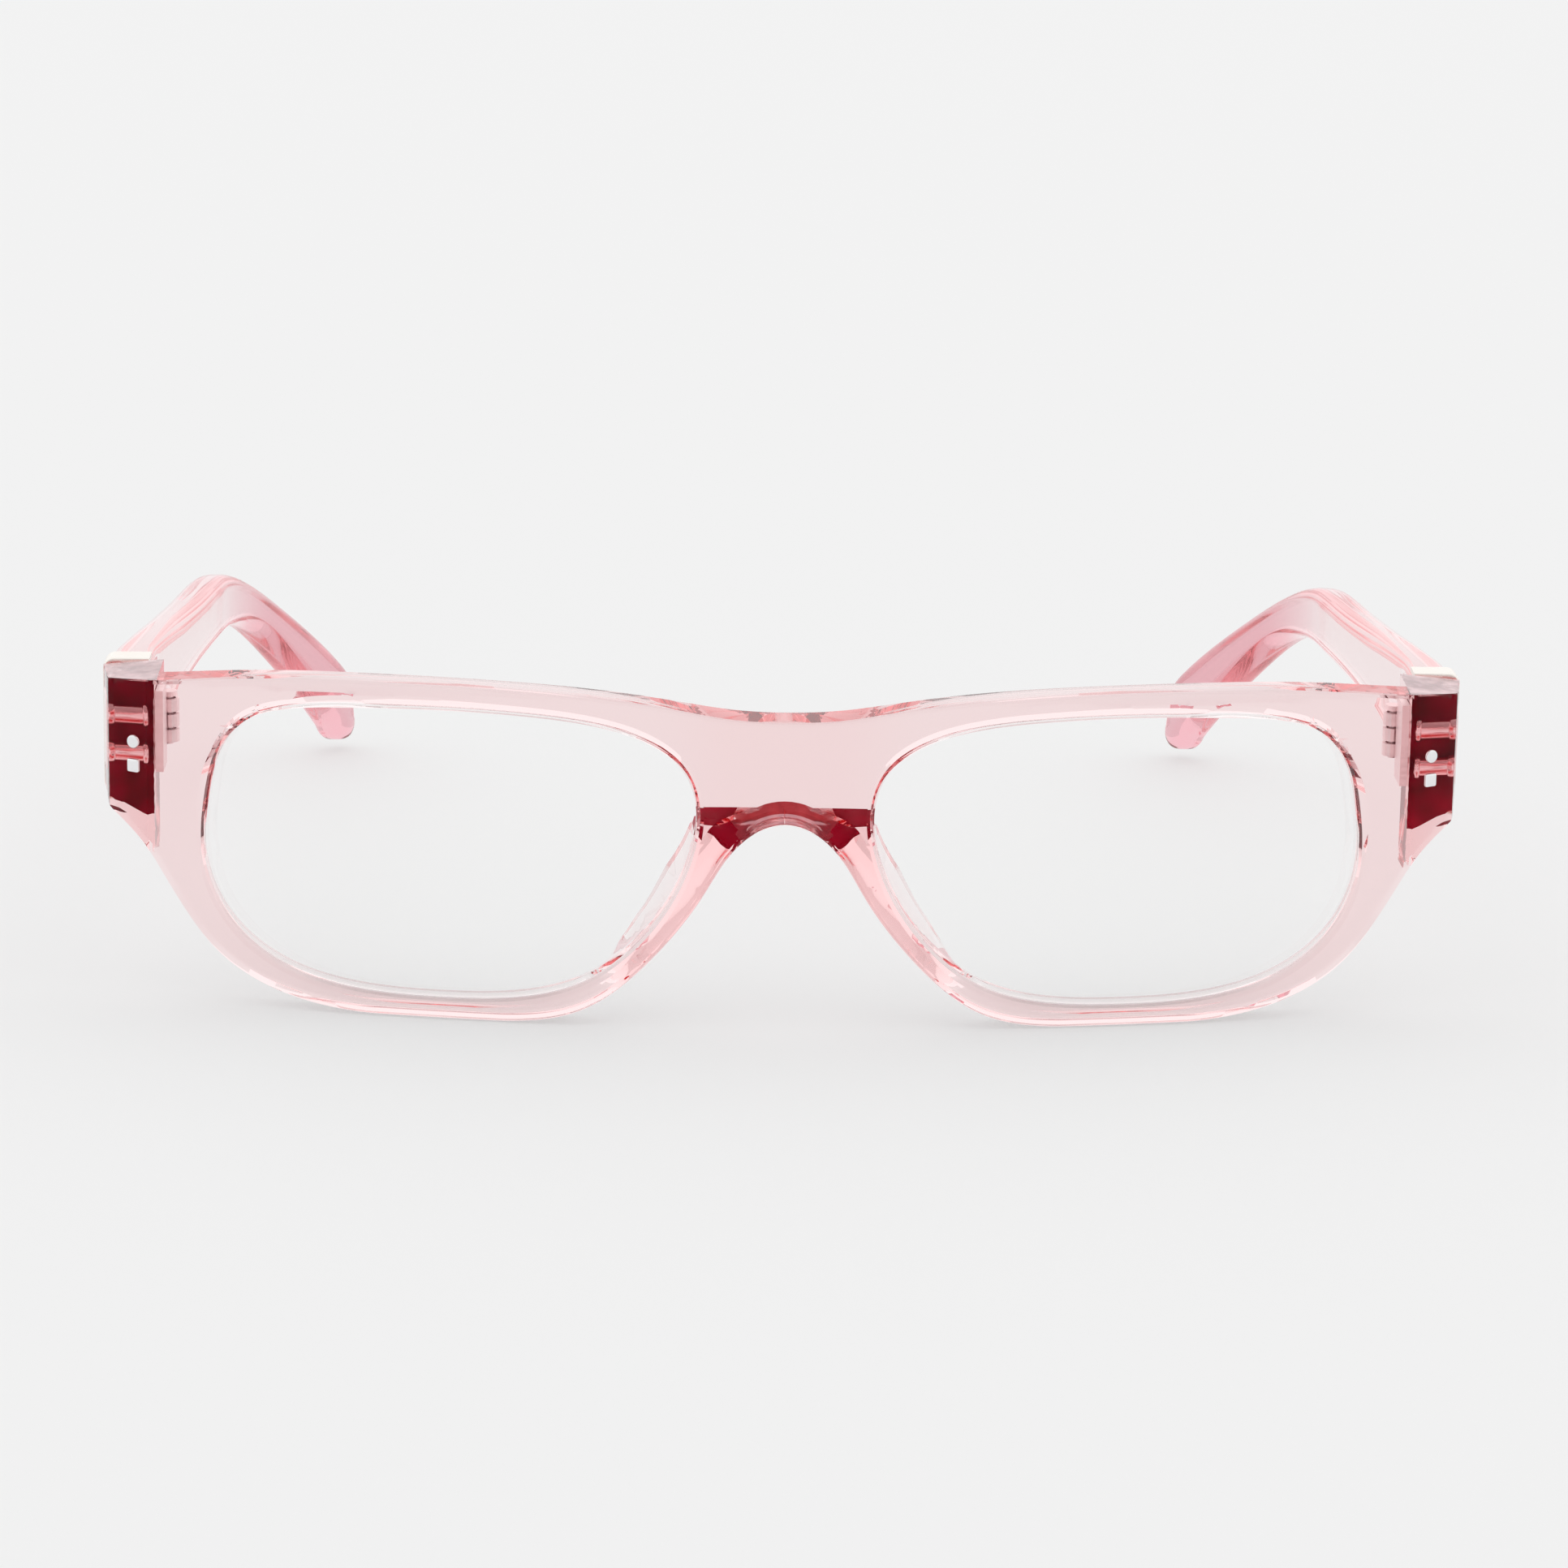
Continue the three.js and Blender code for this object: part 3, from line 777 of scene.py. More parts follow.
@dataclass
class FrontFrame:
    """The acetate front: two rims, bridge, nose pads and wrapped end pieces."""

    plan: Plan = field(default_factory=Plan)
    pad: NosePad = field(default_factory=NosePad)
    top: float = 34.4
    brow: Outline = ((0, 33.7), (6, 34.0), (12, 35.0), (22, 36.2), (34, 36.7), (46, 36.7), (58, 36.1),
                     (67, 35.1), (74.7, 34.4))
    chamfer: Outline = ((73.7, 21.2), (71.3, 19.2), (68.9, 16.9), (67.6, 15.2))
    rim: Outline = ((67.6, 15.2), (65.0, 11.0), (60.4, 5.3), (53.0, 1.4), (44, 0), (37, 0), (30, 0),
                    (21.5, 1.5), (14.6, 6.8), (8.5, 14.7), (4.4, 20.6), (0, 22.5))
    lens_opening: Outline = (
        (62.0, 18.0), (61.5, 23.2), (60.1, 28.3), (57.4, 31.5), (53.2, 33.0), (46, 33.7), (38, 33.95),
        (28, 33.7), (20, 32.8), (14.4, 31.0), (10.9, 28.2), (9.5, 24.4), (9.9, 19.6), (12.2, 13.8),
        (16.4, 8.3), (21.2, 4.7), (27.5, 2.75), (36, 2.2), (46, 2.7), (53, 4.6), (58.2, 8.2),
        (61.1, 12.8))
    crease: Outline = ((62.3, 14.0), (63.0, 19.0), (62.9, 22.6), (62.2, 25.8), (60.7, 28.9),
                       (57.9, 31.7), (55.0, 33.4), (51.6, 34.55), (47.2, 35.1), (42.0, 35.25))
    crease_fall_at: tuple[float, ...] = (0.0, 0.12, 0.4, 0.7, 0.88, 1.0)
    crease_fall: tuple[float, ...] = (0.0, 0.62, 0.75, 0.6, 0.3, 0.0)
    brow_round_at: tuple[float, ...] = (0, 20, 36, 52, 60, 66, 74)
    brow_round: tuple[float, ...] = (0.4, 0.4, 1.4, 1.5, 0.9, 0.4, 0.4)
    brow_from: float = 30.0
    bevel: float = 0.8
    bevel_depth: float = 0.5
    bevel_clear: float = 0.35
    low_bevel: tuple[float, float] = (0.8, 0.45)
    low_bevel_from: tuple[float, float] = (46.0, 56.0)
    low_bevel_under: tuple[float, float] = (21.0, 19.6)
    edge: float = 0.4
    groove: tuple[float, float] = (0.95, 3.5)
    groove_depth: float = 0.6
    groove_marks: float = 0.004
    # deep_to, deep_from and deep_top bound the joint faces painted deep crimson, and guide lines run along
    # that bound.
    deep_to: float = 71.5
    deep_from: tuple[float, float] = (18.4, 20.4)
    deep_top: float = 33.4
    # arch_reach and arch_band bound the back faces under the arch that are painted rosy.
    arch_reach: float = 5.0
    arch_band: float = 1.8
    mark_pitch: float = 1.7
    grid: float = 0.8
    outline_step: float = 0.55
    guide_step: float = 0.5
    lens_guides: tuple[float, ...] = (0.12, 0.3)
    edge_guides: tuple[float, ...] = (0.12, 0.4, 0.8, 1.3, 1.8)
    facet_guides: tuple[float, ...] = (-0.35, -0.1, 0.1, 0.35)
    upright_guide: tuple[float, float] = (10.0, 38.0)
    pad_guide: tuple[float, float] = (3.0, 9.6)
    crowded: float = 0.28
    lens_edge: float = 0.3
    joint_edge: float = 0.15
    least: float = 0.12
    wall_rows: tuple[float, ...] = (0.1, 0.35, 0.65, 0.9)
    groove_slope: float = 0.12
    # top_band: height of the end piece's top band that is painted pale.
    top_band: float = 0.4

    def outline(self) -> Points:
        """Half of the outline, from the middle of the brow round to the arch.

        Returns:
            The open outline.
        """
        brow = half_of_mirrored(self.brow, self.outline_step)
        brow = brow[brow[:, 0] < self.plan.outer - 0.2]
        side = evenly(np.array([[self.plan.outer, self.top + 0.1], self.chamfer[0]]), self.outline_step)
        cut = evenly(spline(self.chamfer, 0.2), self.outline_step)
        arch = [(-x, z) for x, z in self.rim[-4:-1]][::-1]
        rim = spline([*self.rim, *arch], self.outline_step / 4)
        rim[:, 1] = np.maximum(rim[:, 1], 0)
        last = int(np.argmax(rim[:, 0] <= 0))
        middle = [[0.0, rim[last, 1]]]
        rim = evenly(np.vstack([rim[:last], middle]), self.outline_step)
        return np.vstack([brow, side, cut[1:-1], rim])

    def opening(self, grow: float = 0.0, step: float = 0.45) -> Points:
        """The lens opening, grown evenly.

        Args:
            grow: How far outwards it is moved.
            step: Distance between points.

        Returns:
            The closed outline.
        """
        ring = spline(self.lens_opening, step, closed=True)
        return ring - grow * self.outward_sign(ring) * Track(ring, True).normals()

    @staticmethod
    def outward_sign(ring: Points) -> float:
        """1 when the left-hand normals of a ring point inwards, otherwise -1.

        Args:
            ring: A closed outline.

        Returns:
            The sign.
        """
        x, z = ring.T
        area = (x * np.roll(z, -1) - z * np.roll(x, -1)).sum()
        return 1.0 if area > 0 else -1.0

    def measure(self, spots: Points, outline: Track, ring: Track, crease: Track) -> dict[str, Points]:
        """Distances from each spot to the lines that shape the front.

        Args:
            spots: Places on the front, as X and Z.
            outline: Half of the outline.
            ring: The lens opening.
            crease: The line of the crease.

        Returns:
            The measures by name.
        """
        to_edge, _, edge_spot = outline.nearest(spots)
        to_lens, lens_at, lens_spot = ring.nearest(spots)
        to_crease, crease_at, _ = crease.nearest(spots)
        return {"edge": np.abs(to_edge), "lens": np.abs(to_lens), "lens_at": lens_at,
                "crease": to_crease, "crease_at": crease_at, "lens_spot": lens_spot,
                "edge_spot": edge_spot}

    def _rounding(self, away: Points, radius: Points | float) -> Points:
        """Depth lost to a rounded edge at a distance from it."""
        short = np.clip(radius - away, 0, radius)
        return radius - np.sqrt(radius ** 2 - short ** 2)

    def front_depth(self, spots: Points, m: dict[str, Points]) -> Points:
        """Depth of the front surface, with its crease, bevels and rounded edges.

        Args:
            spots: Places on the front, as X and Z.
            m: Their measures.

        Returns:
            The depths.
        """
        depth = self.plan.face(spots[:, 0])
        fall = np.interp(m["crease_at"], self.crease_fall_at, self.crease_fall)
        share = np.abs(m["crease"]) / (np.abs(m["crease"]) + m["lens"] + 1e-9)
        inner = np.where(m["crease"] > 0, fall * share, 0)
        clear = np.clip(1 - np.where(m["crease"] > 0, fall, 0) / self.bevel_clear, 0, 1)
        bevel = self.bevel_depth * clear * np.clip(1 - m["lens"] / self.bevel, 0, 1)
        edge_x, edge_z = m["edge_spot"].T
        soft = np.where(edge_z > self.brow_from, np.interp(edge_x, self.brow_round_at, self.brow_round),
                        self.edge)
        (x0, x1), (z0, z1) = self.low_bevel_from, self.low_bevel_under
        low = ease((edge_x - x0) / (x1 - x0)) * ease((z0 - edge_z) / (z0 - z1))
        wide, deep = self.low_bevel
        lower = deep * low * np.clip(1 - m["edge"] / wide, 0, 1)
        return depth + inner + bevel + np.maximum(lower, self._rounding(m["edge"], soft))

    def across(self, m: dict[str, Points]) -> Points:
        """Place across the rim: 0 at its outer edge, 1 at the lens opening."""
        return m["edge"] / (m["edge"] + m["lens"] + 1e-9)

    def back_depth(self, spots: Points, m: dict[str, Points]) -> tuple[Points, Points]:
        """Depth of the back surface, and how far the pads move it sideways.

        Args:
            spots: Places on the front, as X and Z.
            m: Their measures.

        Returns:
            The depths and the sideways moves.
        """
        x, z = spots.T
        depth = (self.plan.back(x) - self._rounding(m["edge"], self.edge)
                 - self._rounding(m["lens"], self.lens_edge))
        height = self.pad.height(self.across(m), m["lens"], x, z)
        towards = m["lens_spot"] - m["edge_spot"]
        towards /= np.linalg.norm(towards, axis=1)[:, None] + 1e-9
        flare = np.interp(z, self.pad.flare_heights, self.pad.flare) * height / self.pad.depth
        return depth + height, towards * flare[:, None]

    def guide_lines(self, outline: Points, ring: Points) -> list[tuple[Points, bool]]:
        """Lines that the mesh's edges have to follow.

        Args:
            outline: Half of the outline.
            ring: The lens opening.

        Returns:
            Each line, and whether it closes on itself.
        """
        lines = [(outline, False), (ring, True), (spline(self.crease, self.guide_step), False)]
        low, high = self.upright_guide
        straight = [((x, low), (x, high)) for x in (
            self.plan.inner, self.plan.facet[0], self.deep_to,
            *(self.plan.facet[1] + away for away in self.facet_guides))]
        straight += [((self.pad_guide[0], z), (self.pad_guide[1], z)) for z in self.pad.top]
        straight += [((self.plan.inner, z0), (self.deep_to, z1))
                     for z0, z1 in (self.deep_from, (self.deep_top, self.deep_top))]
        lines += [(evenly(np.array(ends), self.guide_step), False) for ends in straight]
        lines.append((self.pad_ridge(outline, ring), False))
        strong = np.vstack([line for line, _ in lines[2:]])
        normals = Track(ring, True).normals() * self.outward_sign(ring)
        run = np.gradient(outline, axis=0)
        run /= np.linalg.norm(run, axis=1)[:, None]
        inward = np.stack([run[:, 1], -run[:, 0]], axis=1)
        inward[[0, -1], 0] = 0
        soft = [(ring - normals * away, True) for away in (*self.lens_guides, self.bevel)]
        soft += [(outline + inward * away, False) for away in self.edge_guides]
        for line, closed in soft:
            lines += self._clear_runs(line, closed, strong, ring, outline)
        return lines

    def _clear_runs(self, line: Points, closed: bool, strong: Points, ring: Points,
                    outline: Points) -> list[tuple[Points, bool]]:
        """Break a guide line where it would crowd a stronger one.

        Args:
            line: The guide line.
            closed: Whether it closes on itself.
            strong: Points of the stronger lines.
            ring: The lens opening.
            outline: Half of the outline.

        Returns:
            The stretches that stay.
        """
        gap = np.linalg.norm(line[:, None] - strong[None], axis=2).min(1)
        other = ring if not closed else outline
        gap = np.minimum(gap, np.linalg.norm(line[:, None] - other[None], axis=2).min(1) * 0.5)
        keep = (gap > self.crowded) & inside(outline, line + (1e-4, 0)) & ~inside(ring, line)
        if keep.all():
            return [(line, closed)]
        runs: list[tuple[Points, bool]] = []
        start = None
        for k, good in enumerate([*keep, False]):
            if good and start is None:
                start = k
            elif not good and start is not None:
                if k - start > 1:
                    runs.append((line[start:k], False))
                start = None
        return runs

    def pad_ridge(self, outline: Points, ring: Points) -> Points:
        """The line where the pads stop rising from the nose edge.

        Args:
            outline: Half of the outline.
            ring: The lens opening.

        Returns:
            The open line.
        """
        low, high = self.pad.foot[0], self.pad.top[0]
        nasal = ring[(ring[:, 0] < self.pad.reach_x) & (ring[:, 1] > low) & (ring[:, 1] < high)]
        nasal = nasal[np.argsort(nasal[:, 1])]
        _, _, edge = Track(outline).nearest(nasal)
        return evenly(edge + (nasal - edge) * self.pad.rise, self.guide_step)

    def triangulate(self) -> tuple[Points, list[tuple[int, int, int]], Points, Points]:
        """Lay a triangle net over half of the front.

        Returns:
            The net's spots, its triangles, the outline and the opening.
        """
        outline, ring = self.outline(), self.opening()
        spots: list[Vector] = []
        edges: list[tuple[int, int]] = []
        for line, closed in self.guide_lines(outline, ring):
            first = len(spots)
            spots += [Vector(p) for p in line]
            edges += [(first + i, first + i + 1) for i in range(len(line) - 1)]
            if closed:
                edges.append((len(spots) - 1, first))
        middle = evenly(np.array([outline[0], outline[-1]]), self.guide_step)
        first = len(spots)
        spots += [Vector(p) for p in middle]
        edges += [(first + i, first + i + 1) for i in range(len(middle) - 1)]
        fixed = np.array([tuple(p) for p in spots])
        rows = np.arange(0.3, 38, self.grid * math.sqrt(3) / 2)
        fill = np.array([(x + (self.grid / 2 if k % 2 else 0), z) for k, z in enumerate(rows)
                         for x in np.arange(0.4, 74, self.grid)])
        fill = fill[inside(outline, fill) & ~inside(ring, fill)]
        near = np.array([np.min(np.abs(fixed - p).max(1)) for p in fill])
        spots += [Vector(p) for p in fill[near > self.grid * 0.6]]
        made, _, faces, *_ = delaunay_2d_cdt(spots, edges, [], 0, 1e-4)
        flat = np.array([tuple(p) for p in made])
        centres = np.array([flat[list(f)].mean(0) for f in faces])
        keep = inside(outline, centres) & ~inside(ring, centres)
        return flat, [tuple(f) for f, k in zip(faces, keep) if k], outline, ring

    def half(self) -> Draft:
        """Draw the +X half of the front.

        Returns:
            The half, not yet mirrored.
        """
        flat, triangles, outline, ring = self.triangulate()
        tracks = Track(outline), Track(ring, True), Track(spline(self.crease, 0.3))
        m = self.measure(flat, *tracks)
        normals = Track(ring, True).normals() * -self.outward_sign(ring)
        steps = np.arange(len(ring) + 1) / len(ring)
        m["outward"] = np.column_stack([
            np.interp(m["lens_at"], steps, np.append(normals[:, k], normals[0, k])) for k in (0, 1)])
        front = self.front_depth(flat, m)
        back, shift = self.back_depth(flat, m)
        joint = self.plan.joint - self._rounding(m["edge"], self.joint_edge)
        behind = flat[:, 0] > self.plan.inner + 1e-5
        on_step = np.abs(flat[:, 0] - self.plan.inner) < 1e-5
        last = np.where(behind, joint, back)
        front = np.minimum(front, last - self.least)
        draft = Draft()
        f0 = draft.add(np.column_stack([flat[:, 0], front, flat[:, 1]]))
        b0 = draft.add(np.column_stack([flat[:, 0] + shift[:, 0], last, flat[:, 1] + shift[:, 1]]))
        j0 = draft.add(np.column_stack([flat[:, 0], joint, flat[:, 1]]))
        for tri in triangles:
            a, b, c = tri
            draft.face(f0 + a, f0 + b, f0 + c)
            corners = list(tri)
            start = [j0 if on_step[k] and flat[corners, 0].mean() > self.plan.inner else b0 for k in tri]
            to_edge = m["edge"][corners].mean()
            across = to_edge / (m["edge"] + m["lens"])[corners].mean()
            # Each back face takes its finish from where it lies; all but the plain one are painted light.
            tint = self.painted_finish_at(flat[corners].mean(0), across, to_edge)
            draft.face(start[2] + c, start[1] + b, start[0] + a, finish=tint)
        self._step(draft, flat, triangles, b0, j0)
        self._walls(draft, flat, triangles, m, front, last, f0, b0, j0)
        return draft

    def painted_finish_at(self, spot: Points, across: float, to_edge: float) -> Tint:
        """Finish of the back at a spot: painted deep crimson on the joint faces, painted crimson on the pads'
        tops and a painted rosy colour under the arch, all standing in for light darkened inside the acetate.

        Args:
            spot: The place, as X and Z.
            across: Place across the rim, from 0 at its outer edge to 1.
            to_edge: Distance from the outer edge.

        Returns:
            The finish.
        """
        (low_in, low_out), high = self.deep_from, self.deep_top
        low = np.interp(spot[0], (self.plan.inner, self.deep_to), (low_in, low_out))
        if self.plan.inner < spot[0] < self.deep_to and low < spot[1] < high:
            return Tint.JOINT
        if self.pad.on_top(spot, across):
            return Tint.PAD_TOP
        under = spot[0] < self.arch_reach and to_edge < self.arch_band and spot[1] < self.brow_from
        return Tint.ARCH if under else Tint.PLAIN

    def _step(self, draft: Draft, flat: Points, triangles: list[tuple[int, int, int]], b0: int,
              j0: int) -> None:
        """Close the end piece's inner wall, which faces the hinge.

        Args:
            draft: The half being drawn.
            flat: Spots of the net.
            triangles: Triangles of the net.
            b0: Index of the first back point.
            j0: Index of the first joint point.
        """
        x = self.plan.inner
        for tri in triangles:
            if flat[list(tri), 0].mean() < x:
                continue
            for p, q in sides(tri):
                if abs(flat[p, 0] - x) < 1e-5 and abs(flat[q, 0] - x) < 1e-5:
                    draft.face(b0 + p, b0 + q, j0 + q, j0 + p)

    def _walls(self, draft: Draft, flat: Points, triangles: list[tuple[int, int, int]],
               m: dict[str, Points], front: Points, last: Points, f0: int, b0: int, j0: int) -> None:
        """Close the outer wall and the grooved wall of the opening.

        Args:
            draft: The half being drawn.
            flat: Spots of the net.
            triangles: Triangles of the net.
            m: The spots' measures.
            front: Depths of the front surface.
            last: Depths of the back surface.
            f0: Index of the first front point.
            b0: Index of the first back point.
            j0: Index of the first joint point.
        """
        used: dict[tuple[int, int], int] = {}
        for tri in triangles:
            for p, q in sides(tri):
                key = (min(p, q), max(p, q))
                used[key] = used.get(key, 0) + 1
        ring_length = Track(self.opening(), True).total
        columns: dict[tuple[int, bool], list[int]] = {}

        def column(k: int, lens: bool, high: bool) -> list[int]:
            """Indices down the wall at one spot of the boundary.

            Args:
                k: The spot.
                lens: Whether it lies on the opening.
                high: Whether the wall ends at the joint.

            Returns:
                Indices from front to back.
            """
            key = (k, high)
            if key in columns:
                return columns[key]
            start, end = f0 + k, (j0 if high else b0) + k
            near = float(front[k])
            far = self.plan.joint - self.joint_edge if high else float(last[k])
            spot = flat[k]
            if lens:
                face = float(self.plan.curve(spot[0]))
                out = m["outward"][k]
                wave = self.groove_marks * math.sin(
                    2 * math.pi * m["lens_at"][k] * round(ring_length / self.mark_pitch))
                deep = self.groove_depth + wave
                g0, g1 = face + self.groove[0], face + self.groove[1]
                rows = [(0, g0), (deep, g0 + self.groove_slope), (deep, g1 - self.groove_slope), (0, g1),
                        (0, (g1 + far) / 2)]
                points = [(spot[0] + out[0] * o, y, spot[1] + out[1] * o) for o, y in rows]
            else:
                points = [(spot[0], near + (far - near) * t, spot[1]) for t in self.wall_rows]
            first = draft.add(np.array(points))
            columns[key] = [start, *range(first, first + len(points)), end]
            return columns[key]

        for tri in triangles:
            centre = flat[list(tri), 0].mean()
            for p, q in sides(tri):
                if used[(min(p, q), max(p, q))] != 1:
                    continue
                if abs(flat[p, 0]) < 1e-6 and abs(flat[q, 0]) < 1e-6:
                    continue
                lens = m["lens"][p] < 0.02 and m["lens"][q] < 0.02
                step = self.plan.inner
                high = [abs(flat[k, 0] - step) < 1e-5 and centre > step for k in (p, q)]
                one, two = column(p, lens, high[0]), column(q, lens, high[1])
                # The end piece's top band takes the painted pale top finish.
                on_top = centre > step and flat[[p, q], 1].mean() > self.top - self.top_band
                tint = Tint.END_TOP if on_top else Tint.PLAIN
                for r in range(len(one) - 1):
                    draft.face(one[r], one[r + 1], two[r + 1], two[r], finish=tint)

    def build(self, place: Placement, finishes: Finishes) -> bpy.types.Object:
        """Draw both halves and weld them at the middle line.

        Args:
            place: The upright frame's placement.
            finishes: The object's finishes.

        Returns:
            The new piece.
        """
        half = self.half()
        points = np.vstack(half.points)
        points[np.abs(points[:, 0]) < 1e-4, 0] = 0
        whole = Draft()
        whole.add(points)
        other = whole.add(points * (-1, 1, 1))
        for corners, finish in zip(half.faces, half.finish):
            whole.face(*corners, finish=finish)
            whole.face(*(other + c for c in corners[::-1]), finish=finish)
        # The front's second to fifth finishes are painted light: deep crimson on the joint faces, crimson on
        # the pads' tops, a pale top band and a rosy arch, all copies of the one clear acetate.
        dress = Dress("front", "acetate", (finishes.acetate, finishes.deep, finishes.painted_pad_crimson,
                                            finishes.top, finishes.arch),
                      ("front_frame", "left_nose_pad", "right_nose_pad"), sharp=14.0)
        return whole.piece("acetate_front", Side.RIGHT, place, dress)


# ---------------------------------------------------------------- lenses
@dataclass
class Lens:
    """A clear lens, curved like the front and held in the rim's groove."""

    front: FrontFrame
    side: Side
    setback: float = 1.2
    thickness: float = 2.0
    overlap: float = 0.5
    outline_step: float = 0.7
    rings: int = 26
    edge_round: tuple[float, float] = (0.985, 0.25)

    def build(self, place: Placement, finishes: Finishes) -> bpy.types.Object:
        """Draw the lens as rings that close in on its middle.

        Args:
            place: The upright frame's placement.
            finishes: The object's finishes.

        Returns:
            The new piece.
        """
        edge = self.front.opening(self.overlap, self.outline_step)
        if self.front.outward_sign(edge) > 0:
            edge = edge[::-1]
        centre = edge.mean(0)
        shares = np.sqrt(np.linspace(0.0004, 1, self.rings))
        share, depth = self.edge_round
        layers = [(s, 0.0) for s in shares[:-1]] + [(share, 0.0), (1.0, depth)]
        layers += [(s, self.thickness - y) for s, y in layers[::-1]]
        draft = Draft()
        rings = []
        for share, depth in layers:
            flat = centre + (edge - centre) * share
            rings.append(np.column_stack([flat[:, 0],
                                          self.front.plan.curve(flat[:, 0]) + self.setback + depth,
                                          flat[:, 1]]))
        draft.rings(rings)
        name = f"{self.side.word}_lens"
        dress = Dress("front", "lens", (finishes.lens,), (name,), sharp=40.0)
        return draft.piece(f"{name}_clear", self.side, place, dress)


# ---------------------------------------------------------------- temples
@dataclass
class Temple:
    """A temple: an acetate shank that narrows, bends in and hooks down behind the ear."""

    side: Side
    top: Outline = ((20.1, 34.4), (45, 32.9), (70, 30.9), (86, 29.3), (97, 25.9), (110, 20.0),
                    (122, 13.6), (131, 8.0), (135.2, 4.0), (136.2, 0.2))
    under: Outline = ((20.1, 20.0), (40, 22.7), (60, 23.6), (80, 22.9), (93, 21.5), (103, 17.7),
                      (113, 12.0), (123, 5.4), (129, 1.0), (132.2, -1.6))
    thickness: float = 4.6
    centre: float = 71.2
    splay_from: float = 31.0
    splay: float = 0.078
    bend_from: float = 82.0
    bend_gain: float = 0.0146
    bend_power: float = 1.6
    corner: tuple[float, float] = (0.9, 1.9)
    corner_grows: tuple[float, float] = (24.0, 48.0)
    corner_steps: int = 6
    corner_most: float = 0.45
    stations: int = 110
    tip_round: float = 2.9
    tip_rings: int = 6
    tip_width: float = 0.35
    start_squeeze: float = 0.93
    cuff_end: float = 23.45
    rebate: float = 0.3
    end_edge: float = 0.15
    step_edge: float = 0.12

    def middle(self, y: Points) -> Points:
        """Distance of the temple's middle from the centre line at each depth.

        Args:
            y: Depths.

        Returns:
            The distances.
        """
        bend = np.maximum(0, y - self.bend_from)
        return (self.centre - self.splay * np.maximum(0, y - self.splay_from)
                - self.bend_gain * bend ** self.bend_power)

    def section(self, low: Points, high: Points, squeeze: float = 1.0, rebate: float = 0.0) -> Points:
        """One cross-section of the shank.

        Args:
            low: Underside of the section, as Y and Z.
            high: Top of the section, as Y and Z.
            squeeze: Share of the full thickness, less than 1 at the tip.
            rebate: How far the top, outer side and underside are let in for the cuff.

        Returns:
            A closed ring of points.
        """
        up = high - low
        length = float(np.linalg.norm(up))
        up /= length
        inner, outer = -self.thickness / 2 * squeeze, self.thickness / 2 * squeeze - rebate
        z0, z1 = rebate, length - rebate
        corner = float(np.interp(low[0], self.corner_grows, self.corner))
        radius = min(corner * squeeze, (z1 - z0) * self.corner_most, (outer - inner) * self.corner_most)
        ring = []
        for cx, cz, start in ((outer - radius, z1 - radius, 0.0), (inner + radius, z1 - radius, 0.25),
                              (inner + radius, z0 + radius, 0.5), (outer - radius, z0 + radius, 0.75)):
            for k in range(self.corner_steps + 1):
                turn = 2 * math.pi * (start + 0.25 * k / self.corner_steps)
                ring.append((cx + radius * math.cos(turn), cz + radius * math.sin(turn)))
        across, height = np.array(ring).T
        y = low[0] + up[0] * height
        z = low[1] + up[1] * height
        return np.column_stack([self.middle(y) + across, y, z])

    def build(self, place: Placement, finishes: Finishes) -> bpy.types.Object:
        """Draw the shank station by station and round off its tip.

        Args:
            place: The upright frame's placement.
            finishes: The object's finishes.

        Returns:
            The new piece.
        """
        share = np.linspace(0, 1, self.stations)
        curves = []
        for line in (self.under, self.top):
            fine = spline(line, 0.2)
            at = np.linspace(0, 1, len(fine))
            curves.append(np.column_stack([np.interp(share, at, fine[:, k]) for k in (0, 1)]))
        low, high = curves
        first_free = int(np.argmax(low[:, 0] > self.cuff_end))
        edge = (self.end_edge, 0)
        rings = [self.section(low[0], high[0], self.start_squeeze, self.rebate + self.end_edge),
                 self.section(low[0] + edge, high[0] + edge, 1.0, self.rebate)]
        ends = [np.array([self.cuff_end, np.interp(self.cuff_end, c[:, 0], c[:, 1])]) for c in curves]
        rings.append(self.section(ends[0] - (0.1, 0), ends[1] - (0.1, 0), 1.0, self.rebate))
        rings.append(self.section(*ends, 1.0, self.step_edge))
        rings.append(self.section(ends[0] + (self.step_edge, 0), ends[1] + (self.step_edge, 0)))
        rings += [self.section(low[k], high[k]) for k in range(first_free + 1, self.stations)]
        ahead = (low[-1] - low[-3]) + (high[-1] - high[-3])
        ahead /= np.linalg.norm(ahead)
        middle = (low[-1] + high[-1]) / 2
        for k in range(1, self.tip_rings + 1):
            turn = math.pi / 2 * k / (self.tip_rings + 0.4)
            reach, keep = self.tip_round * math.sin(turn), math.cos(turn) ** 0.8
            rings.append(self.section(middle + (low[-1] - middle) * keep + ahead * reach,
                                      middle + (high[-1] - middle) * keep + ahead * reach,
                                      self.tip_width + (1 - self.tip_width) * keep))
        draft = Draft()
        # The cap at the temple's front end takes the second finish, the painted deep crimson that stands in
        # for light run long through the acetate.
        draft.rings(rings, start_finish=1)
        name = f"{self.side.word}_temple"
        dress = Dress(self.side.arm, "acetate", (finishes.shank, finishes.deep), (name,), sharp=32.0)
        return draft.piece(f"{name}_shank", self.side, place, dress)


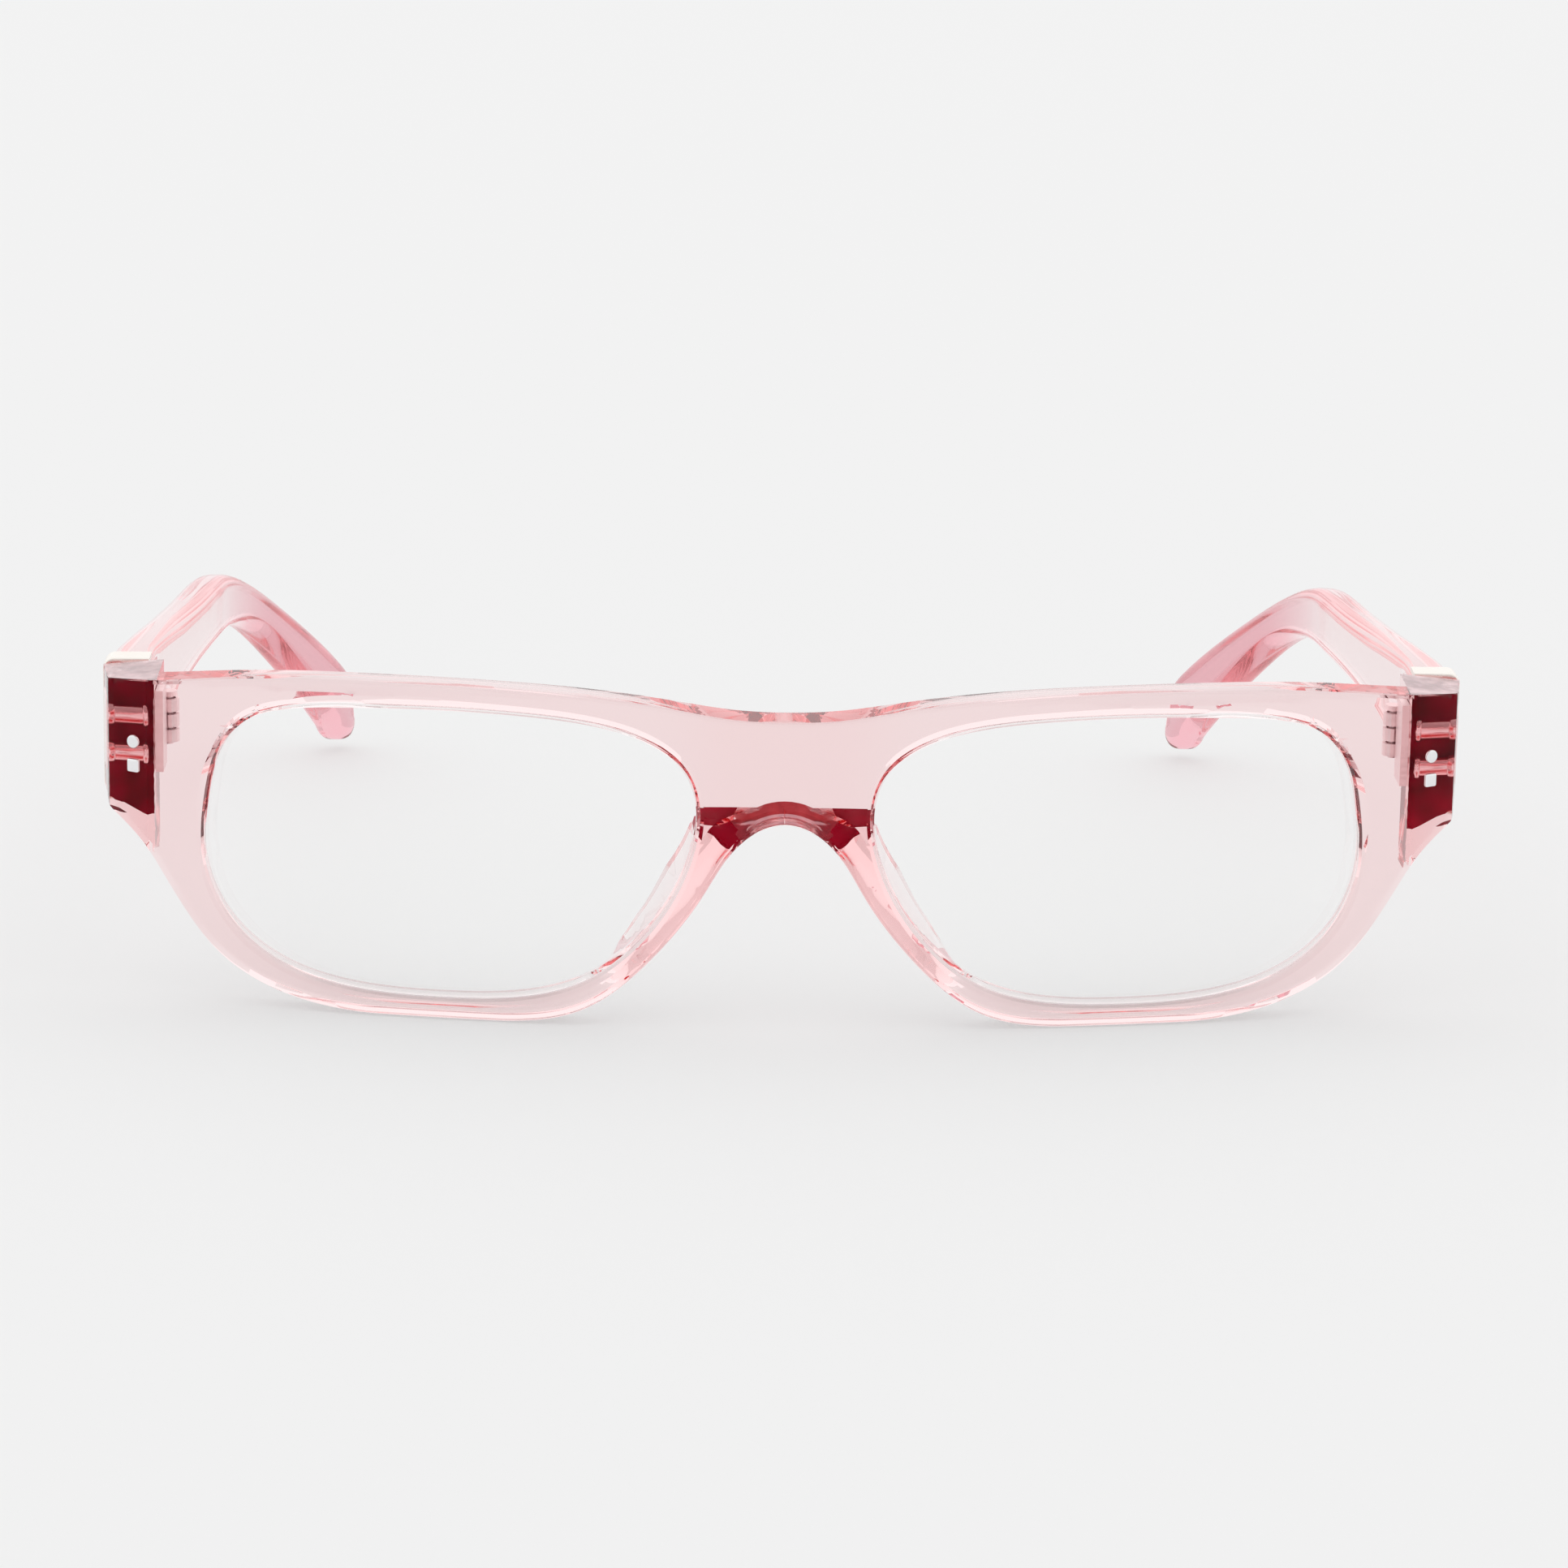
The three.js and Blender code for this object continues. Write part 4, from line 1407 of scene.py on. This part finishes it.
# ---------------------------------------------------------------- small parts
def rounded_slab(outline: Points, thickness: float, edge: float) -> list[Points]:
    """Rings of a flat plate with rounded edges, lying in its own X and Y.

    Args:
        outline: The plate's outline, counter-clockwise.
        thickness: The plate's thickness.
        edge: Radius of its edges.

    Returns:
        Rings from the underside to the top, as X, Y and height.
    """
    normals = Track(outline, True).normals()
    rings = []
    for height, turns in ((edge, (-90, -60, -30, 0)), (thickness - edge, (0, 30, 60, 90))):
        for degrees in turns:
            turn = math.radians(degrees)
            flat = outline + normals * edge * (1 - math.cos(turn))
            rings.append(np.column_stack([flat, np.full(len(flat), height + edge * math.sin(turn))]))
    return rings


def rounded_rectangle(width: float, height: float, radius: float, steps: int = 6) -> Points:
    """Outline of a rectangle with rounded corners, counter-clockwise about its middle.

    Args:
        width: Size along X.
        height: Size along Y.
        radius: Radius of the corners.
        steps: Segments in each corner.

    Returns:
        The closed outline.
    """
    points = []
    for quarter, (sx, sy) in enumerate(((1, 1), (-1, 1), (-1, -1), (1, -1))):
        for k in range(steps + 1):
            turn = math.pi / 2 * (quarter + k / steps)
            points.append((sx * (width / 2 - radius) + radius * math.cos(turn),
                           sy * (height / 2 - radius) + radius * math.sin(turn)))
    return np.array(points)


def turned(profile: Outline, steps: int = 40) -> list[Points]:
    """Rings of a turned part about its own Z, from a profile of radius and height.

    Args:
        profile: Radius and height down the part.
        steps: Points in each ring.

    Returns:
        One ring for each point of the profile.
    """
    turn = np.linspace(0, 2 * math.pi, steps, endpoint=False)
    return [np.column_stack([r * np.cos(turn), r * np.sin(turn), np.full(steps, h)])
            for r, h in profile]


def laid(rings: list[Points], x_axis: Sequence[float], y_axis: Sequence[float],
         origin: Sequence[float]) -> list[Points]:
    """Turn rings so that their X and Y run along the given axes, and move them.

    Args:
        rings: Rings about their own Z.
        x_axis: Direction of the rings' X.
        y_axis: Direction of the rings' Y.
        origin: Where the rings' origin goes.

    Returns:
        The placed rings.
    """
    a, b = np.array(x_axis, float), np.array(y_axis, float)
    a, b = a / np.linalg.norm(a), b / np.linalg.norm(b)
    turn = np.stack([a, b, np.cross(a, b)])
    return [ring @ turn + np.array(origin) for ring in rings]


class StudShape(Enum):
    """Outline of a front stud's head."""

    ROUND = "round"
    SQUARE = "square"


@dataclass
class FrontStud:
    """A riveted stud whose polished head shows on the turned facet."""

    plan: Plan
    side: Side
    shape: StudShape
    x: float = 69.9
    radius: float = 0.72
    proud: float = 0.12
    depth: float = 0.4
    corner: float = 0.22
    edge: float = 0.12
    crown: tuple[float, float] = (0.5, 0.02)

    @property
    def z(self) -> float:
        """Height of the stud's middle."""
        return 28.0 if self.shape is StudShape.ROUND else 25.35

    def build(self, place: Placement, finishes: Finishes) -> bpy.types.Object:
        """Draw the stud along its own axis and set it square to the facet.

        Args:
            place: The upright frame's placement.
            finishes: The object's finishes.

        Returns:
            The new piece.
        """
        length = self.proud + self.depth
        if self.shape is StudShape.ROUND:
            outline = turned([(self.radius, 0)], 48)[0][:, :2]
        else:
            outline = rounded_rectangle(2 * self.radius, 2 * self.radius, self.corner)
        rings = rounded_slab(outline, length, self.edge)
        crown = rings[-1].copy()
        crown[:, :2] *= self.crown[0]
        crown[:, 2] += self.crown[1]
        turn = math.atan(self.plan.facet_slope)
        out = np.array([math.sin(turn), -math.cos(turn), 0])
        along = np.cross((0, 0, 1), out)
        y = float(self.plan.face(np.array(self.x)))
        origin = np.array([self.x, y, self.z]) - out * self.depth
        draft = Draft()
        draft.rings(laid([*rings, crown], along, (0, 0, 1), origin))
        name = f"{self.side.word}_{self.shape.value}_stud"
        dress = Dress("front", "polished_metal", (finishes.silver,), (name,))
        return draft.piece(f"{name}_head", self.side, place, dress)


@dataclass
class SidePlaque:
    """The polished plate let into the side of the end piece."""

    plan: Plan
    side: Side
    z: tuple[float, float] = (24.0, 32.4)
    length: float = 4.6
    thickness: float = 0.6
    sunk: float = 0.2
    corner: float = 0.9
    edge: float = 0.12

    def build(self, place: Placement, finishes: Finishes) -> bpy.types.Object:
        """Draw the plate flat and stand it in the side facet.

        Args:
            place: The upright frame's placement.
            finishes: The object's finishes.

        Returns:
            The new piece.
        """
        near = self.plan.facet[1]
        y0 = float(self.plan.face(np.array(self.plan.facet[0]))) + (
            near - self.plan.facet[0]) * self.plan.facet_slope
        run = np.array([self.plan.outer - near, self.plan.joint - y0, 0.0])
        out = np.array([run[1], -run[0], 0.0]) / np.linalg.norm(run)
        middle = np.array([near, y0, sum(self.z) / 2]) + run / 2 - out * self.sunk
        slab = rounded_slab(rounded_rectangle(self.length, self.z[1] - self.z[0], self.corner),
                            self.thickness, self.edge)
        draft = Draft()
        draft.rings(laid(slab, np.cross((0, 0, 1), out), (0, 0, 1), middle - out * 0.3))
        name = f"{self.side.word}_side_plaque"
        dress = Dress("front", "rose_metal", (finishes.rose,), (name,))
        return draft.piece(f"{name}_plate", self.side, place, dress)


class PinLevel(Enum):
    """Height of an anchor pin's axis."""

    LOWER = 25.8
    UPPER = 29.9


@dataclass
class AnchorPin:
    """A flanged pin through the end piece, seen through the acetate."""

    plan: Plan
    side: Side
    level: PinLevel
    y: float = 17.2
    radius: float = 1.0
    flange: float = 1.25
    flange_widths: tuple[float, float] = (0.5, 1.0)
    chamfer: float = 0.08
    fillet: float = 0.05
    axis_hole: float = 0.01
    clear: float = 0.25
    setback: float = 0.3

    def build(self, place: Placement, finishes: Finishes) -> bpy.types.Object:
        """Turn the pin and lay it across the end piece.

        Args:
            place: The upright frame's placement.
            finishes: The object's finishes.

        Returns:
            The new piece.
        """
        length = self.plan.facet[1] - self.setback - self.plan.inner - self.clear
        wide, cut = self.flange, self.chamfer
        near, far = self.flange_widths[0], length - self.flange_widths[1]
        profile = [(self.axis_hole, 0), (wide - cut, 0), (wide, cut), (wide, near - cut),
                   (wide - cut, near), (self.radius, near + self.fillet), (self.radius, far - self.fillet),
                   (wide - cut, far), (wide, far + cut), (wide, length - cut), (wide - cut, length),
                   (self.axis_hole, length)]
        draft = Draft()
        start = (self.plan.inner + self.clear, self.y, self.level.value)
        draft.rings(laid(turned(profile), (0, 1, 0), (0, 0, 1), start))
        name = f"{self.side.word}_{self.level.name.lower()}_anchor_pin"
        dress = Dress("front", "polished_metal", (finishes.pin,), (name,))
        return draft.piece(f"{name}_turned", self.side, place, dress)


@dataclass
class Cuff:
    """The metal cap over the temple's top, outer side and underside."""

    temple: Temple
    side: Side
    y: tuple[float, float] = (20.1, 23.3)
    wall: float = 0.6
    proud: float = 0.35
    base: float = 20.4
    top: float = 34.7
    corner: float = 1.2
    corner_steps: int = 8
    edge: float = 0.2

    def outline(self) -> Points:
        """The cap's section, open towards the hinge, as X and Z.

        Returns:
            The closed section.
        """
        half = self.temple.thickness / 2
        x0, x1 = self.temple.centre - half - 0.1, self.temple.centre + half + self.proud
        z0, z1 = self.base - self.proud, self.top + self.proud
        cx, low, high = x1 - self.corner, z0 + self.corner, z1 - self.corner
        inner = self.corner - self.wall

        def bend(cz: float, radius: float, start: float, way: float) -> list[tuple[float, float]]:
            """Points round a quarter turn at one corner.

            Args:
                cz: Height of the corner's middle.
                radius: Its radius.
                start: Where the turn starts, as a share of a full turn.
                way: How far it turns, as a share of a full turn.

            Returns:
                The points.
            """
            turns = [2 * math.pi * (start + way * k / self.corner_steps)
                     for k in range(self.corner_steps + 1)]
            return [(cx + radius * math.cos(turn), cz + radius * math.sin(turn)) for turn in turns]

        return np.array([(x0, z0), *bend(low, self.corner, -0.25, 0.25),
                         *bend(high, self.corner, 0.0, 0.25), (x0, z1), (x0, z1 - self.wall),
                         *bend(high, inner, 0.25, -0.25), *bend(low, inner, 0.0, -0.25),
                         (x0, z0 + self.wall)])

    def build(self, place: Placement, finishes: Finishes) -> bpy.types.Object:
        """Draw the cap along the temple with its edges rounded.

        Args:
            place: The upright frame's placement.
            finishes: The object's finishes.

        Returns:
            The new piece.
        """
        slab = rounded_slab(self.outline(), self.y[1] - self.y[0], self.edge)
        rings = [np.column_stack([r[:, 0], self.y[1] - r[:, 2], r[:, 1]]) for r in slab]
        draft = Draft()
        draft.rings(rings, (False, False))
        size = len(rings[0])
        draft.face(*range(size)[::-1])
        draft.face(*range((len(rings) - 1) * size, len(rings) * size))
        name = f"{self.side.word}_temple_cuff"
        dress = Dress(self.side.arm, "polished_metal", (finishes.champagne,), (name,))
        return draft.piece(f"{name}_cap", self.side, place, dress)


class CarriedParts:
    """Hinge parts whose solids are right as they are and only need their finish."""

    ENDINGS = ("_hinge_leaf", "_hinge_screw", "_leaf_rivet")

    def dress(self, nodes: dict[str, bpy.types.Object], finishes: Finishes) -> None:
        """Give each carried node its metal.

        Args:
            nodes: The loaded nodes by name.
            finishes: The object's finishes.
        """
        for name, node in nodes.items():
            if name.endswith(self.ENDINGS):
                metal = finishes.silver if "rivet" in name else finishes.hinge
                node.data.materials.clear()
                node.data.materials.append(metal)
                LOG.info("%s keeps its solid in %s", name, metal.name)


# ---------------------------------------------------------------- the studio
@dataclass
class Studio:
    """A plain pale floor under a soft white dome, with a dim side behind the camera."""

    floor_tone: float = 0.45
    floor_mottle: float = 0.99
    floor_glow: float = 0.42
    dome: float = 1.07
    floor_size: float = 24.0
    dim: float = 0.72
    dim_towards: tuple[float, float, float] = (0.0, -0.966, 0.259)
    dim_edge: tuple[float, float] = (0.45, 0.92)

    def floor(self) -> None:
        """Lay the floor under the object."""
        board = NodeBoard("pale studio floor")
        body = board.node("ShaderNodeBsdfPrincipled", Roughness=0.9)
        body.inputs["Specular IOR Level"].default_value = 0.1
        board.mottle(body, 3.0, 3.0, ((self.floor_tone * self.floor_mottle,) * 3, (self.floor_tone,) * 3))
        body.inputs["Emission Color"].default_value = (1.0, 1.0, 1.0, 1)
        body.inputs["Emission Strength"].default_value = self.floor_glow
        board.surface(body)
        sheet = bmesh.new()
        bmesh.ops.create_grid(sheet, x_segments=8, y_segments=8, size=self.floor_size / 2)
        mesh = bpy.data.meshes.new("studio_floor")
        sheet.to_mesh(mesh)
        sheet.free()
        mesh.materials.append(board.material)
        floor = bpy.data.objects.new("studio_floor", mesh)
        floor.location.z = -0.0001
        bpy.context.scene.collection.objects.link(floor)

    def sky(self) -> None:
        """Light everything from a white dome that is dimmer on the viewer's side."""
        world = bpy.data.worlds.new("white dome")
        bpy.context.scene.world = world
        world.use_nodes = True
        tree = world.node_tree
        tree.nodes.clear()
        place = tree.nodes.new("ShaderNodeTexCoord")
        toward = tree.nodes.new("ShaderNodeVectorMath")
        toward.operation = "DOT_PRODUCT"
        toward.inputs[1].default_value = self.dim_towards
        tree.links.new(place.outputs["Generated"], toward.inputs[0])
        ramp = tree.nodes.new("ShaderNodeValToRGB")
        ramp.color_ramp.interpolation = "EASE"
        for stop, at, tone in zip(ramp.color_ramp.elements, self.dim_edge, (1.0, self.dim)):
            stop.position = at
            stop.color = (tone, tone, tone, 1)
        tree.links.new(toward.outputs["Value"], ramp.inputs["Fac"])
        light = tree.nodes.new("ShaderNodeBackground")
        light.inputs["Strength"].default_value = self.dome
        tree.links.new(ramp.outputs["Color"], light.inputs["Color"])
        output = tree.nodes.new("ShaderNodeOutputWorld")
        tree.links.new(light.outputs["Background"], output.inputs["Surface"])

    def build(self) -> None:
        """Set up the floor, the dome and the tone."""
        self.floor()
        self.sky()
        scene = bpy.context.scene
        scene.view_settings.view_transform = "Standard"
        scene.cycles.max_bounces = 32
        scene.cycles.transmission_bounces = 28
        scene.cycles.glossy_bounces = 30
        scene.cycles.diffuse_bounces = 4


@dataclass(frozen=True)
class ViewPoint:
    """The camera: a long lens, slightly above the front and turned a little."""

    distance: float = 0.607
    elevation: float = 13.0
    turn: float = -1.42
    roll: float = 0.97
    lens: float = 131.2
    aim: tuple[float, float, float] = (-0.000147, -0.06568, 0.0264)

    def build(self) -> None:
        """Make the camera and look through it."""
        camera = bpy.data.cameras.new("studio camera")
        camera.lens = self.lens
        camera.sensor_width = 36.0
        camera.clip_start, camera.clip_end = 0.01, 60.0
        piece = bpy.data.objects.new("studio camera", camera)
        bpy.context.scene.collection.objects.link(piece)
        tilt, turn, roll = (math.radians(v) for v in (self.elevation, self.turn, self.roll))
        back = Vector((math.cos(tilt) * math.sin(turn), -math.cos(tilt) * math.cos(turn), math.sin(tilt)))
        level = Vector((math.cos(turn), math.sin(turn), 0.0))
        above = back.cross(level)
        right = math.cos(roll) * level + math.sin(roll) * above
        up = back.cross(right)
        piece.matrix_world = Matrix([[right[i], up[i], back[i], self.aim[i] + back[i] * self.distance]
                                     for i in range(3)] + [[0, 0, 0, 1]])
        bpy.context.scene.camera = piece


# ---------------------------------------------------------------- the whole object
def main() -> None:
    """Build every piece in order, then the studio and the camera."""
    logging.basicConfig(level=logging.INFO, format="%(name)s: %(message)s")
    place = Placement(frame["record"])
    finishes = Finishes()
    front = FrontFrame()
    front.build(place, finishes)
    for side in Side:
        Lens(front, side).build(place, finishes)
        for shape in StudShape:
            FrontStud(front.plan, side, shape).build(place, finishes)
        SidePlaque(front.plan, side).build(place, finishes)
        for level in PinLevel:
            AnchorPin(front.plan, side, level).build(place, finishes)
        temple = Temple(side)
        temple.build(place, finishes)
        Cuff(temple, side).build(place, finishes)
    CarriedParts().dress(frame["nodes"], finishes)
    Studio().build()
    ViewPoint().build()


if __name__ == "__main__":
    main()
